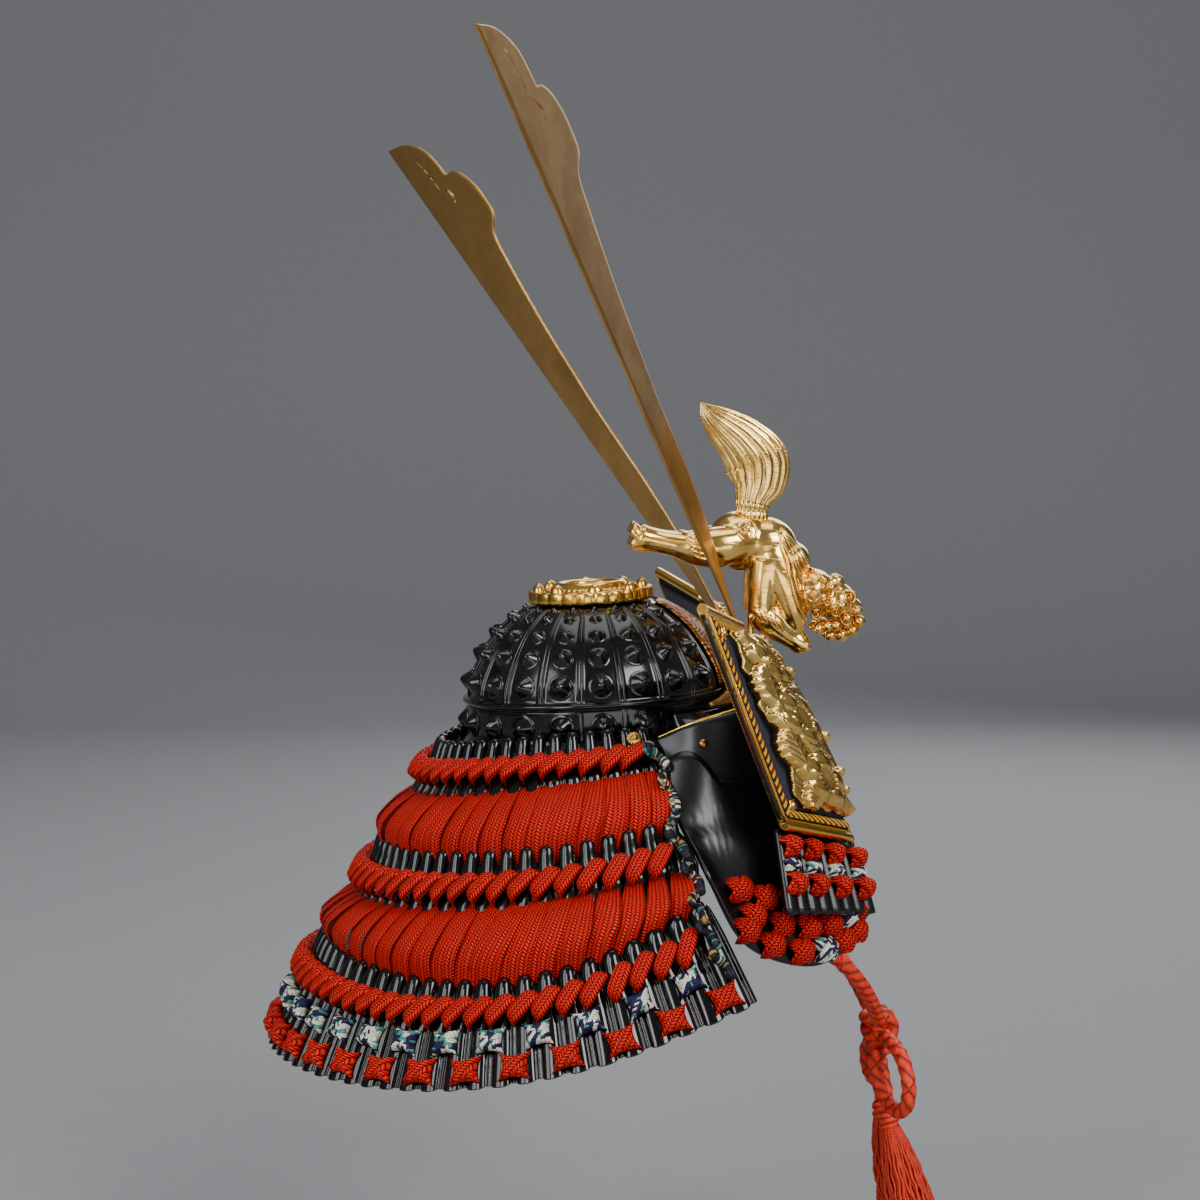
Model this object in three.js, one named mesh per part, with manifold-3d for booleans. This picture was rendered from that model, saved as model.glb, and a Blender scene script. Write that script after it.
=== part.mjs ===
// Ornamental kabuto helmet: studded bowl, three-lame laced neck guard, turned-back wings,
// horned crest with a leaping lion, and a knotted chin cord with two tassels.
// Millimetres, +Z up, the wearer looks along -Y, the helmet's right side is at -X.
// Pieces are drawn from the bowl's rim and axis; the whole is then lowered so that the
// origin lies under the crown, where the helmet rests on the head.
import * as THREE from 'three';
import { mergeVertices } from 'three/addons/utils/BufferGeometryUtils.js';
import Module from 'manifold-3d';

const wasm = await Module();
wasm.setup();

// ---------------------------------------------------------------- driving dimensions
const SEAT_HEIGHT = 28.5;      // underside of the crown above the bowl's rim
const GAP = 0.35;              // clearance kept between neighbouring pieces
const BOWL_COLUMNS = 20;       // panels round the bowl
const BOWL_LEAN = 3;           // degrees that the bowl leans back
const BOWL_WALL = 1.5;
const BAND_WALL = 1.3;
const SEAM_RISE = 0.5;         // height of the seams between the panels
const PLATE_HALF_ANGLE = 25;   // half width of the gilt front plate, degrees
const FOLDS = 52;              // folds in each curtain of hanging lacing
const RIB_RISE = 1.0;          // how far a scale stands out of its lame
const HEAD_RISE = 1.6;         // rounded top of a scale above the lame's edge
const LAME_WALL = 1.2;
const KNOTS = 26;              // knots in each of the two lowest lacing rows
const SIDE_TAPER = 0.12;       // how fast the neck guard closes in towards the face
const PLAN_POWER = 1.85;       // squareness of the neck guard's plan, 2 is an ellipse
const SHEET = 1.4;             // thickness of the turned-back plates
const RIM_RADIUS = 1.25;       // gilt bead on the upper wings' edges
const HORN_THICKNESS = 1.0;
const CORD_DIAMETER = 4.4;
const CORD_SIDES = 8;
const TASSEL_LENGTH = 40;

// ---------------------------------------------------------------- finishes
const finish = (color, roughness, metalness) => ({ color, roughness, metalness });
const LACQUER = finish(0x0b0b0c, 0.12, 0.0);
const GOLD = finish(0xd8a63c, 0.25, 1.0);
const PALE_GOLD = finish(0xe6c46a, 0.18, 1.0);
const BRASS = finish(0xb48a45, 0.35, 1.0);
const COPPER_GOLD = finish(0xa8702f, 0.4, 1.0);
const RED_LACING = finish(0xc52f1a, 0.85, 0.0);
const MIXED_LACING = finish(0x8f9a94, 0.85, 0.0);
const NAVY_CLOTH = finish(0x1d1c30, 0.9, 0.0);
const TAPE = finish(0xe0b23a, 0.8, 0.0);
const CORD_RED = finish(0xd24a2a, 0.8, 0.0);

// ---------------------------------------------------------------- mesh helpers
const vec = (x, y, z) => new THREE.Vector3(x, y, z);
const rad = THREE.MathUtils.degToRad;
const lerp = THREE.MathUtils.lerp;
const range = (n) => Array.from({ length: n }, (_, k) => k);

function signedVolume(geometry) {
  const p = geometry.attributes.position;
  const index = geometry.index.array;
  const [a, b, c] = [vec(), vec(), vec()];
  let sum = 0;
  for (let i = 0; i < index.length; i += 3) {
    a.fromBufferAttribute(p, index[i]);
    b.fromBufferAttribute(p, index[i + 1]);
    c.fromBufferAttribute(p, index[i + 2]);
    sum += a.dot(b.cross(c)) / 6;
  }
  return sum;
}

function outward(geometry) {
  if (signedVolume(geometry) < 0) {
    const index = geometry.index.array;
    for (let i = 0; i < index.length; i += 3) {
      [index[i], index[i + 1]] = [index[i + 1], index[i]];
    }
  }
  return geometry;
}

// A merged, outward-facing solid from a list of triangles, each three Vector3.
function solid(triangles) {
  const geometry = new THREE.BufferGeometry().setFromPoints(triangles.flat());
  return outward(mergeVertices(geometry, 1e-4));
}

// Position-only, merged copy of a three.js geometry.
function plain(geometry) {
  const copy = geometry.index ? geometry.toNonIndexed() : geometry.clone();
  copy.deleteAttribute('normal');
  copy.deleteAttribute('uv');
  return outward(mergeVertices(copy, 1e-4));
}

const quad = (a, b, c, d) => [[a, b, c], [a, c, d]];
const reversed = (faces) => faces.map(([a, b, c]) => [a, c, b]);

// Triangles of a grid of points; a round grid joins its last column to its first.
function gridFaces(grid, round = false) {
  const cols = grid[0].length;
  const last = round ? cols : cols - 1;
  return range(grid.length - 1).flatMap((r) => range(last).flatMap((c) => {
    const d = (c + 1) % cols;
    return quad(grid[r][c], grid[r][d], grid[r + 1][d], grid[r + 1][c]);
  }));
}

// Closes an outer and an inner grid of equal size into one wall.
function wallBetween(outer, inner) {
  const end = outer.length - 1;
  const column = (grid, c) => grid.map((row) => row[c]);
  const last = outer[0].length - 1;
  return solid([
    ...gridFaces(outer),
    ...reversed(gridFaces(inner)),
    ...gridFaces([inner[0], outer[0]]),
    ...gridFaces([outer[end], inner[end]]),
    ...gridFaces([column(outer, 0), column(inner, 0)]),
    ...gridFaces([column(inner, last), column(outer, last)]),
  ]);
}

// The same for a pleated outer grid that has two columns for each column of the inner one.
function pleatedWall(outer, inner) {
  const end = outer.length - 1;
  const column = (grid, c) => grid.map((row) => row[c]);
  const pleats = inner[0].length - 1;
  const edge = (o, i) => range(pleats).flatMap((k) => [
    [o[2 * k], i[k], o[2 * k + 1]],
    [o[2 * k + 1], i[k], i[k + 1]],
    [o[2 * k + 1], i[k + 1], o[2 * k + 2]],
  ]);
  return solid([
    ...gridFaces(outer),
    ...reversed(gridFaces(inner)),
    ...edge(outer[0], inner[0]),
    ...reversed(edge(outer[end], inner[end])),
    ...gridFaces([column(outer, 0), column(inner, 0)]),
    ...gridFaces([column(inner, pleats), column(outer, 2 * pleats)]),
  ]);
}

// Joins equal rings of points in turn; a loop closes on itself, anything else is capped.
function sweepRings(rings, loop = false) {
  const closed = rings.map((ring) => [...ring, ring[0]]);
  const faces = gridFaces(loop ? [...closed, closed[0]] : closed);
  if (!loop) {
    const [first, end] = [rings[0], rings[rings.length - 1]];
    range(first.length - 2).forEach((k) => {
      faces.push([first[0], first[k + 2], first[k + 1]]);
      faces.push([end[0], end[k + 1], end[k + 2]]);
    });
  }
  return solid(faces);
}

// Triangles between an outer and an inner ring with different numbers of points.
function joinRings(outer, inner) {
  const faces = [];
  const [n, m] = [outer.length, inner.length];
  let [i, j] = [0, 0];
  while (i < n || j < m) {
    if (i < n && (i + 1) / n <= (j + 1) / m) {
      faces.push([outer[i % n], outer[(i + 1) % n], inner[j % m]]);
      i += 1;
    } else {
      faces.push([outer[i % n], inner[(j + 1) % m], inner[j % m]]);
      j += 1;
    }
  }
  return faces;
}

const toManifold = (geometry) => new wasm.Manifold(new wasm.Mesh({
  numProp: 3,
  vertProperties: new Float32Array(geometry.attributes.position.array),
  triVerts: new Uint32Array(geometry.index.array),
}));

// One solid from overlapping ones, less those in the second list.
function fuse(geometries, cuts = []) {
  let body = toManifold(geometries[0]);
  geometries.slice(1).forEach((g) => { body = body.add(toManifold(g)); });
  cuts.forEach((g) => { body = body.subtract(toManifold(g)); });
  const mesh = body.getMesh();
  const geometry = new THREE.BufferGeometry();
  geometry.setAttribute('position', new THREE.BufferAttribute(mesh.vertProperties, 3));
  geometry.setIndex(new THREE.BufferAttribute(mesh.triVerts, 1));
  return geometry;
}

// Turns a shape drawn up +Y so that it stands on a point along a direction.
function standOn(geometry, foot, direction) {
  geometry.applyQuaternion(new THREE.Quaternion().setFromUnitVectors(vec(0, 1, 0), direction));
  geometry.translate(foot.x, foot.y, foot.z);
  return plain(geometry);
}

const lathe = (profile, sides) => (
  new THREE.LatheGeometry(profile.map(([r, z]) => new THREE.Vector2(r, z)), sides));

// A round tube extruded along a curve.
function tube(curve, radius, sides, steps) {
  const section = new THREE.Shape(range(sides).map((k) => {
    const a = (k * 2 * Math.PI) / sides;
    return new THREE.Vector2(radius * Math.cos(a), radius * Math.sin(a));
  }));
  return plain(new THREE.ExtrudeGeometry(section, { steps, extrudePath: curve, bevelEnabled: false }));
}

const smoothCurve = (points) => new THREE.CatmullRomCurve3(points, false, 'centripetal');

const held = new THREE.Group();
const helmet = new THREE.Group();
const bowlGroup = new THREE.Group();
helmet.position.z = -SEAT_HEIGHT;
bowlGroup.rotation.x = -rad(BOWL_LEAN);
held.add(helmet);
helmet.add(bowlGroup);

function addPiece(name, geometry, look, parent = helmet) {
  const mesh = new THREE.Mesh(geometry, new THREE.MeshStandardMaterial(look));
  mesh.name = name;
  parent.add(mesh);
}

const SIDES = [['right', -1], ['left', 1]];

// ---------------------------------------------------------------- bowl and waist band
// Outer profiles, radius and height, from the bottom up.
const BOWL_PROFILE = [[40.2, 2.0], [40.2, 3.2], [38.9, 3.6], [37.6, 9], [33.8, 16.2], [29, 22.4],
  [23.6, 26.8], [18.6, 29.6], [7, 30.6]];
const BAND_PROFILE = [[43.2, -13.5], [39.4, -7.6], [39.2, 0.9], [39.2, 1.4]];
const BOWL_ROWS = [
  { low: 3.6, high: 12.7, stud: 3.3, height: 3.6, sides: 6, blunt: true },
  { low: 12.7, high: 19.4, stud: 2.9, height: 3.4, sides: 6, blunt: true },
  { low: 19.4, high: 24.6, stud: 2.3, height: 2.9, sides: 6 },
  { low: 24.6, high: 28.1, stud: 1.7, height: 2.2, sides: 4 },
  { low: 28.1, high: 29.6, stud: 1.1, height: 1.5, sides: 4 },
];
const BAND_ROWS = [{ low: -7.6, high: 0.9, stud: 3.5, height: 3.4, sides: 6, blunt: true }];

function radiusAt(profile, z) {
  const i = profile.findIndex(([, top], k) => k > 0 && z <= top);
  const [[r0, z0], [r1, z1]] = [profile[i - 1], profile[i]];
  return lerp(r0, r1, (z - z0) / (z1 - z0));
}

// A point at an angle round the bowl's axis, from the rear towards the right side.
const polar = (r, degrees, z) => vec(-r * Math.sin(rad(degrees)), r * Math.cos(rad(degrees)), z);

// A shell of panels with a stud on each panel of each row, as far round as lastStud, and a
// raised seam between the panels that carry studs.
function studdedShell({ profile, rows, wall, seam, lastStud }) {
  const step = 360 / BOWL_COLUMNS;
  const [floor, roof] = [rows[0].low, rows[rows.length - 1].high];
  const outside = profile.map(([, z]) => z).filter((z) => z < floor || z > roof);
  const stops = [...new Set([...outside, floor, ...rows.map((row) => row.high)])].sort((a, b) => a - b);
  const corner = (column, z) => {
    const degrees = (column - 0.5) * step;
    const fromRear = Math.abs(((degrees + 180) % 360) - 180);
    const raised = z >= floor && z <= roof && fromRear <= lastStud + step / 2;
    return polar(radiusAt(profile, z) + (raised ? seam : 0), degrees, z);
  };
  const faces = [];
  range(BOWL_COLUMNS).forEach((column) => {
    const mid = column * step;
    const hasStuds = Math.min(mid, 360 - mid) <= lastStud;
    range(stops.length - 1).forEach((i) => {
      const [low, high] = [stops[i], stops[i + 1]];
      const border = [corner(column, low), corner(column + 1, low), corner(column + 1, high), corner(column, high)];
      const row = rows.find((r) => r.low === low);
      if (!row || !hasStuds) {
        faces.push(...quad(...border));
        return;
      }
      const heart = polar(radiusAt(profile, (low + high) / 2), mid, (low + high) / 2);
      faces.push(...studOn(border, heart, row));
    });
  });
  const lining = profile.map(([r, z]) => range(BOWL_COLUMNS).map((k) => polar(r - wall, (k - 0.5) * step, z)));
  const skin = lining.filter((_, k) => k === 0 || k > 2 || profile.length < 5);
  const bottom = range(BOWL_COLUMNS).map((k) => corner(k, stops[0]));
  const top = range(BOWL_COLUMNS).map((k) => corner(k, stops[stops.length - 1]));
  faces.push(...reversed(gridFaces(skin, true)));
  faces.push(...gridFaces([skin[0], bottom], true));
  faces.push(...gridFaces([top, skin[skin.length - 1]], true));
  return solid(faces);
}

// A cone on a panel: the panel's border, the cone's foot, and a blunt or a sharp tip.
function studOn(border, heart, row) {
  const across = border[1].clone().sub(border[0]).normalize();
  const up = border[3].clone().sub(border[0]);
  up.addScaledVector(across, -up.dot(across)).normalize();
  const out = across.clone().cross(up);
  const ringAt = (radius, height) => range(row.sides).map((k) => {
    const a = rad(225 + (k * 360) / row.sides);
    const point = heart.clone().addScaledVector(out, height);
    return point.addScaledVector(across, radius * Math.cos(a)).addScaledVector(up, radius * Math.sin(a));
  });
  const foot = ringAt(row.stud, 0);
  const faces = joinRings(border, foot);
  if (row.blunt) {
    const neck = ringAt(row.stud * 0.36, row.height);
    faces.push(...gridFaces([foot, neck], true));
    range(row.sides - 2).forEach((k) => faces.push([neck[0], neck[k + 1], neck[k + 2]]));
  } else {
    const tip = heart.clone().addScaledVector(out, row.height);
    foot.forEach((p, k) => faces.push([p, foot[(k + 1) % row.sides], tip]));
  }
  return faces;
}

addPiece('bowl', studdedShell({
  profile: BOWL_PROFILE, rows: BOWL_ROWS, wall: BOWL_WALL, seam: SEAM_RISE, lastStud: 144,
}), LACQUER, bowlGroup);
addPiece('waist_band', studdedShell({
  profile: BAND_PROFILE, rows: BAND_ROWS, wall: BAND_WALL, seam: 0, lastStud: 108,
}), LACQUER, bowlGroup);

// Gilt plate lying over the front panels of the bowl.
function frontPlate() {
  const heights = [4.0, 9, 16.2, 22.4, 26.8, 29.3];
  const skin = (lift) => heights.map((z) => range(7).map((k) => {
    const degrees = 180 + lerp(-PLATE_HALF_ANGLE, PLATE_HALF_ANGLE, k / 6);
    return polar(radiusAt(BOWL_PROFILE, z) + lift, degrees, z + lift * 0.5);
  }));
  return wallBetween(skin(1.5), skin(0.7));
}
addPiece('front_plate', frontPlate(), COPPER_GOLD, bowlGroup);

// Crown ring: fluted flange, eight spikes and an inner collar round the open crown.
function crownRing() {
  const profile = [[18.5, 30.3], [18.5, 33.6], [11.4, 34.2], [9.4, 37.0], [7.8, 37.0], [7.2, 31.0]];
  const flutes = 28;
  const ring = sweepRings(range(flutes).map((k) => profile.map(([r, z], i) => (
    polar(i < 2 && k % 2 ? r - 0.8 : r, (k * 360) / flutes, z)))), true);
  const spikes = range(8).map((k) => (
    standOn(lathe([[0, 0], [1.9, 0], [0, 4.2]], 6), polar(15.3, 3 + k * 45, 33.3), vec(0, 0, 1))));
  return fuse([ring, ...spikes]);
}
addPiece('crown_ring', crownRing(), GOLD, bowlGroup);

// Peak: a crescent plate under the brow, falling forward, with a gilt bead on its edge.
const PEAK = { halfAngle: 60, reach: 17, drop: 9, radius: 41.2, z: -1.2, wall: 1.4, bead: 0.75 };
function peakPoint(t, out, lift = 0) {
  const reach = PEAK.reach * (1 - t ** 4) + 2;
  const fall = PEAK.drop * out * (1 - t * t * 0.5);
  return polar(PEAK.radius + reach * out, 180 + t * PEAK.halfAngle, PEAK.z - fall + lift);
}
function peak() {
  const skin = (lift) => [0, 0.5, 1].map((out) => range(13).map((k) => peakPoint(-1 + k / 6, out, lift)));
  return wallBetween(skin(0), skin(-PEAK.wall));
}
function peakRim() {
  const path = range(13).map((k) => {
    const t = -1 + k / 6;
    const away = polar(PEAK.bead + GAP, 180 + t * PEAK.halfAngle, 0);
    return peakPoint(t, 1, -PEAK.wall / 2).add(away);
  });
  return tube(smoothCurve(path), PEAK.bead, 5, 12);
}
addPiece('peak', peak(), LACQUER, bowlGroup);
addPiece('peak_rim', peakRim(), GOLD, bowlGroup);

// ---------------------------------------------------------------- neck guard
// Upper and lower edge of each lame. rear: reach behind the bowl's axis, half: half width,
// front: reach before the axis, then the heights behind, beside and in front. ribs counts
// the lame's scales.
const LAMES = [
  {
    ribs: 34,
    head: { rear: 47, half: 45, front: 14, zRear: -15, zSide: -7.3, zFront: -6.5 },
    low: { rear: 55, half: 54, front: 19, zRear: -27, zSide: -17.5, zFront: -15 },
  },
  {
    ribs: 42,
    head: { rear: 65, half: 66, front: 21, zRear: -44, zSide: -34.3, zFront: -29.5 },
    low: { rear: 72, half: 73, front: 26, zRear: -57, zSide: -45.5, zFront: -40 },
  },
  {
    ribs: 52,
    head: { rear: 82, half: 84, front: 27, zRear: -70, zSide: -60.5, zFront: -46.5 },
    low: { rear: 98, half: 96.5, front: 39, zRear: -101, zSide: -86, zFront: -71.5 },
  },
];
// Where a row of lacing lies between its lame's edges, and half its height as a fraction.
const ROPES = [{ lame: 0, at: 0.42, half: 0.28 }, { lame: 1, at: 0.5, half: 0.27 },
  { lame: 2, at: 0.25, half: 0.12 }];
const MIXED_KNOTS = { lame: 2, at: 0.55, half: 0.1, rise: 2.6, length: 0.32, shift: 0.5 };
const RED_KNOTS = { lame: 2, at: 0.83, half: 0.115, rise: 2.8, length: 0.35, shift: 0 };

function mixEdges(a, b, t) {
  return Object.fromEntries(Object.keys(a).map((key) => [key, lerp(a[key], b[key], t)]));
}

// Plan of an edge: a flattened quarter ellipse behind, a straight run closing in beside the
// face, with the length run so far at each point.
const plans = new Map();
function planCurve(edge) {
  const key = `${edge.rear} ${edge.half} ${edge.front}`;
  if (!plans.has(key)) {
    const arc = range(37).map((i) => {
      const a = (i / 36) * (Math.PI / 2);
      return [edge.half * Math.sin(a) ** (2 / PLAN_POWER), edge.rear * Math.cos(a) ** (2 / PLAN_POWER)];
    });
    const run = range(8).map((i) => (-edge.front * (i + 1)) / 8).map((y) => [edge.half + SIDE_TAPER * y, y]);
    const points = [...arc, ...run];
    const length = [0];
    points.slice(1).forEach(([x, y], i) => length.push(length[i] + Math.hypot(x - points[i][0], y - points[i][1])));
    plans.set(key, { points, length });
  }
  return plans.get(key);
}

// Point of an edge at u: -1 at the right front corner, 0 behind, 1 at the left front corner.
function edgePoint(edge, u, out = 0, lift = 0) {
  const { points, length } = planCurve(edge);
  const target = Math.min(Math.abs(u), 1) * length[length.length - 1];
  const i = Math.max(1, length.findIndex((run) => run >= target - 1e-9));
  const t = (target - length[i - 1]) / (length[i] - length[i - 1]);
  const [[x0, y0], [x1, y1]] = [points[i - 1], points[i]];
  const run = Math.hypot(x1 - x0, y1 - y0);
  const y = lerp(y0, y1, t);
  const ahead = (edge.zFront - edge.zSide) / edge.front;
  const behind = (edge.zRear - edge.zSide) / edge.rear;
  const z = edge.zSide - ahead * y + ((behind + ahead) / (edge.rear + edge.front)) * y * (y + edge.front);
  const x = lerp(x0, x1, t) - ((y1 - y0) / run) * out;
  return vec((Math.sign(u) || 1) * x, y + ((x1 - x0) / run) * out, z + lift);
}

// Point on a lame, t from its upper edge to its lower one.
function lamePoint(n, t, u, out = 0, lift = 0) {
  return edgePoint(mixEdges(LAMES[n].head, LAMES[n].low, t), u, out, lift);
}

// A lame: scales side by side outside, smooth inside, with a rounded head on every scale.
function lame(n) {
  const { ribs } = LAMES[n];
  const outer = [0, 1].map((t) => range(2 * ribs + 1).map((k) => {
    const top = t === 0 ? HEAD_RISE : 0;
    return k % 2 ? lamePoint(n, t, -1 + k / ribs, RIB_RISE, top) : lamePoint(n, t, -1 + k / ribs, 0, -top / 2);
  }));
  const inner = [0, 1].map((t) => range(ribs + 1).map((k) => lamePoint(n, t, -1 + (2 * k) / ribs, -LAME_WALL)));
  return pleatedWall(outer, inner);
}

// Lacing wrapped along a lame: a flat rope carried just outside the scales.
function rope({ lame: n, at, half }) {
  const section = [[-1, 2.3], [1, 2.3], [0.55, 5.2], [-0.55, 5.2]];
  const steps = 34;
  return sweepRings(range(steps + 1).map((k) => section.map(([across, out]) => (
    lamePoint(n, at + across * half, lerp(-0.945, 0.945, k / steps), out)))));
}

// Hanging strips between two lames: a puffed curtain with a fold at every scale.
function strips(low, head) {
  const rows = [{ edge: low, lift: -0.5, puff: 0.2 }, { edge: mixEdges(low, head, 0.45), lift: 0, puff: 4.2 },
    { edge: head, lift: 2.1, puff: 0.4 }];
  const at = ({ edge, lift, puff }, k, depth) => edgePoint(edge, lerp(-0.955, 0.955, k / FOLDS), puff - depth, lift);
  const outer = rows.map((row) => range(FOLDS + 1).map((k) => at(row, k, k % 2 || row.puff < 1 ? 0 : 0.9)));
  const inner = rows.map((row) => range(FOLDS / 2 + 1).map((k) => at(row, 2 * k, 2)));
  return pleatedWall(outer, inner);
}

// A row of knots strung on one thread.
function knotRow({ lame: n, at, half, rise, length, shift }) {
  const pitch = 2 / KNOTS;
  const ring = (u, depth, height) => [[-height, 1.6], [height, 1.6], [height, 1.6 + depth],
    [-height, 1.6 + depth]].map(([across, out]) => lamePoint(n, at + across, u, out));
  const centers = range(KNOTS).map((k) => -1 + pitch * (k + 0.5 + shift)).filter((u) => Math.abs(u) < 0.97);
  return sweepRings(centers.flatMap((u, k) => [
    ring(u - pitch * length, rise, half),
    ring(u + pitch * length, rise, half),
    ...(k < centers.length - 1 ? [ring(u + pitch / 2, rise * 0.35, half * 0.25)] : []),
  ]));
}

range(3).forEach((n) => {
  addPiece(`lame_${n + 1}`, lame(n), LACQUER);
  addPiece(`lacing_row_${n + 1}`, rope(ROPES[n]), RED_LACING);
});
addPiece('lacing_strips_1', strips(LAMES[0].low, LAMES[1].head), RED_LACING);
addPiece('lacing_strips_2', strips(LAMES[1].low, LAMES[2].head), RED_LACING);
addPiece('knots_multicolour', knotRow(MIXED_KNOTS), MIXED_LACING);
addPiece('knots_red', knotRow(RED_KNOTS), RED_LACING);

// ---------------------------------------------------------------- turned-back plates
// Columns of a plate for the left side: from the lame's front edge forward, round the bend
// and back out to the wing's outer edge.
const UPPER_PLATE = [
  { bottom: [53.6, -20.4, -16.5], top: [43.8, -14.9, -6.5] },
  { bottom: [54, -33, -21.5], top: [48.5, -25, -1.5] },
  { bottom: [49.5, -50, -28], top: [48.5, -38, 2.5] },
  { bottom: [43.5, -65.5, -33], top: [45.5, -46.5, 6] },
  { bottom: [43.2, -68.6, -33.8], top: [48.5, -39.8, 21] },
  { bottom: [44.6, -70.2, -34], top: [51, -40, 24] },
  { bottom: [47.2, -69.4, -33.6], top: [53.5, -38.3, 24.8] },
  { bottom: [60, -58.5, -29.5], top: [66, -31.5, 28.5] },
  { bottom: [72, -47.3, -25.5], top: [78, -25, 32] },
];
const LOWER_PLATE = [
  { bottom: [70.8, -27.6, -41.5], top: [64, -22.3, -31] },
  { bottom: [69, -38.5, -61], top: [60, -34, -30] },
  { bottom: [62.5, -57, -68.6], top: [53, -51, -31] },
  { bottom: [53.5, -69.5, -64.5], top: [46.5, -64.5, -36.5] },
  { bottom: [49.5, -74.5, -58], top: [44, -69.8, -38.2] },
  { bottom: [50.5, -76.2, -55.8], top: [45, -71.6, -38.4] },
  { bottom: [53.5, -75.2, -54.8], top: [47.8, -71, -37.6] },
  { bottom: [65, -62, -52.5], top: [57.5, -58.5, -33.4] },
  { bottom: [76, -48.8, -50.3], top: [68, -46.5, -28.8] },
];

// Middle surface of a plate: c counts its columns, q runs from bottom to top. A positive
// lift is towards the wing's outer face and towards the cheek on the part beside the face.
function platePoint(plate, side, c, q, lift = 0) {
  const at = (column, height) => {
    const i = Math.min(Math.max(Math.floor(column), 0), plate.length - 2);
    const low = vec(...plate[i].bottom).lerp(vec(...plate[i + 1].bottom), column - i);
    return low.lerp(vec(...plate[i].top).lerp(vec(...plate[i + 1].top), column - i), height);
  };
  const along = at(Math.min(c + 0.3, plate.length - 1), q).sub(at(Math.max(c - 0.3, 0), q));
  const up = at(c, q + 0.1).sub(at(c, q - 0.1));
  const point = at(c, q).addScaledVector(along.cross(up).normalize(), lift);
  point.x *= side;
  return point;
}

// Corners of a patch on a plate, as a grid of points at one lift.
function platePatch(plate, side, columns, heights, lift) {
  return heights.map((q) => columns.map((c) => platePoint(plate, side, c, q, lift)));
}

function bentPlate(plate, side) {
  const skin = (lift) => platePatch(plate, side, range(plate.length), [0, 0.5, 1], lift);
  return wallBetween(skin(SHEET / 2), skin(-SHEET / 2));
}

// The upper wing's face: p from its outer edge to the bend, q from bottom to top.
const WING = { outer: 8, inner: 6, width: 30, height: 63 };
function wingPoint(side, p, q, lift) {
  return platePoint(UPPER_PLATE, side, lerp(WING.outer, WING.inner, p), q, lift);
}

function wingLayer(side, across, heights, low, high) {
  const skin = (lift) => heights.map((q) => across.map((p) => wingPoint(side, p, q, lift)));
  return wallBetween(skin(high), skin(low));
}

// A section of [inset, lift] points carried along the wing's top, outer and bottom edges.
function borderSweep(side, section) {
  const stations = [
    ...[0.96, 0.64, 0.32].map((p) => ({ p, q: 1, dp: 0, dq: -1 })),
    { p: 0, q: 1, dp: 1, dq: -1 },
    ...[0.75, 0.5, 0.25].map((q) => ({ p: 0, q, dp: 1, dq: 0 })),
    { p: 0, q: 0, dp: 1, dq: 1 },
    ...[0.32, 0.64, 0.96].map((p) => ({ p, q: 0, dp: 0, dq: 1 })),
  ];
  return sweepRings(stations.map(({ p, q, dp, dq }) => section.map(([inset, lift]) => (
    wingPoint(side, p + (dp * inset) / WING.width, q + (dq * inset) / WING.height, lift)))));
}
const RIM_SECTION = range(6).map((k) => rad(k * 60))
  .map((a) => [-RIM_RADIUS - 0.7 + RIM_RADIUS * Math.cos(a), 0.3 + RIM_RADIUS * Math.sin(a)]);
const TAPE_SECTION = [[0.5, 1.5], [3.1, 1.5], [3.1, 2.3], [0.5, 2.3]];

// Raised metal flowers and leaves on one thin backing.
const FLOWERS = [{ p: 0.64, q: 0.8, r: 6.4 }, { p: 0.62, q: 0.5, r: 7.2 }, { p: 0.66, q: 0.2, r: 6.8 }];
const LEAVES = [{ p: 0.88, q: 0.65, r: 3.6 }, { p: 0.42, q: 0.64, r: 3.4 }, { p: 0.88, q: 0.35, r: 3.8 },
  { p: 0.42, q: 0.35, r: 3.4 }];
function wingRelief(side) {
  const backing = wingLayer(side, [0.36, 0.97], [0.1, 0.5, 0.9], 2.7, 3.5);
  const boss = ({ p, q, r }, rise, sides) => {
    const foot = wingPoint(side, p, q, 3.1);
    const axis = wingPoint(side, p, q, 4.1).sub(foot).normalize();
    return standOn(lathe([[0, 0], [r, 0], [r * 0.8, rise * 0.7], [0, rise]], sides), foot, axis);
  };
  return fuse([backing, ...FLOWERS.map((f) => boss(f, 3.0, 8)), ...LEAVES.map((f) => boss(f, 2.2, 5))]);
}

// A chain of small knots across the lower wing, at a height above its lower edge.
function wingKnots(side, height) {
  const ring = (c, rise, half) => [[-half, 1.15], [half, 1.15], [half, 1.15 + rise], [-half, 1.15 + rise]]
    .map(([up, lift]) => platePoint(LOWER_PLATE, side, c, height + up, lift));
  const centers = [7.82, 7.28, 6.73, 6.2];
  return sweepRings(centers.flatMap((c, k) => [
    ring(c + 0.15, 2.4, 0.1),
    ring(c - 0.15, 2.4, 0.1),
    ...(k < centers.length - 1 ? [ring(c - 0.27, 0.8, 0.03)] : []),
  ]));
}

// The knotted lacing in the hollow behind the lower wing, as one quilted pad.
function hollowLacing(side) {
  const columns = range(9).map((k) => lerp(0.85, 3.25, k / 8));
  const heights = range(6).map((k) => lerp(0.06, 0.48, k / 5));
  const quilt = heights.map((q, r) => columns.map((c, k) => (
    platePoint(LOWER_PLATE, side, c, q, (r + k) % 2 ? -3.6 : -2))));
  return wallBetween(platePatch(LOWER_PLATE, side, columns, heights, -1.15), quilt);
}

// Lacing that edges the three lames in front.
function frontLacing(side) {
  const stops = [[0, 0.05], [0, 1], [1, 0], [1, 1], [2, 0], [2, 0.3], [2, 0.66]];
  const path = stops.map(([n, t]) => lamePoint(n, t, side * 0.975, 5.3));
  return tube(smoothCurve(path), 1.3, 6, 14);
}

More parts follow.
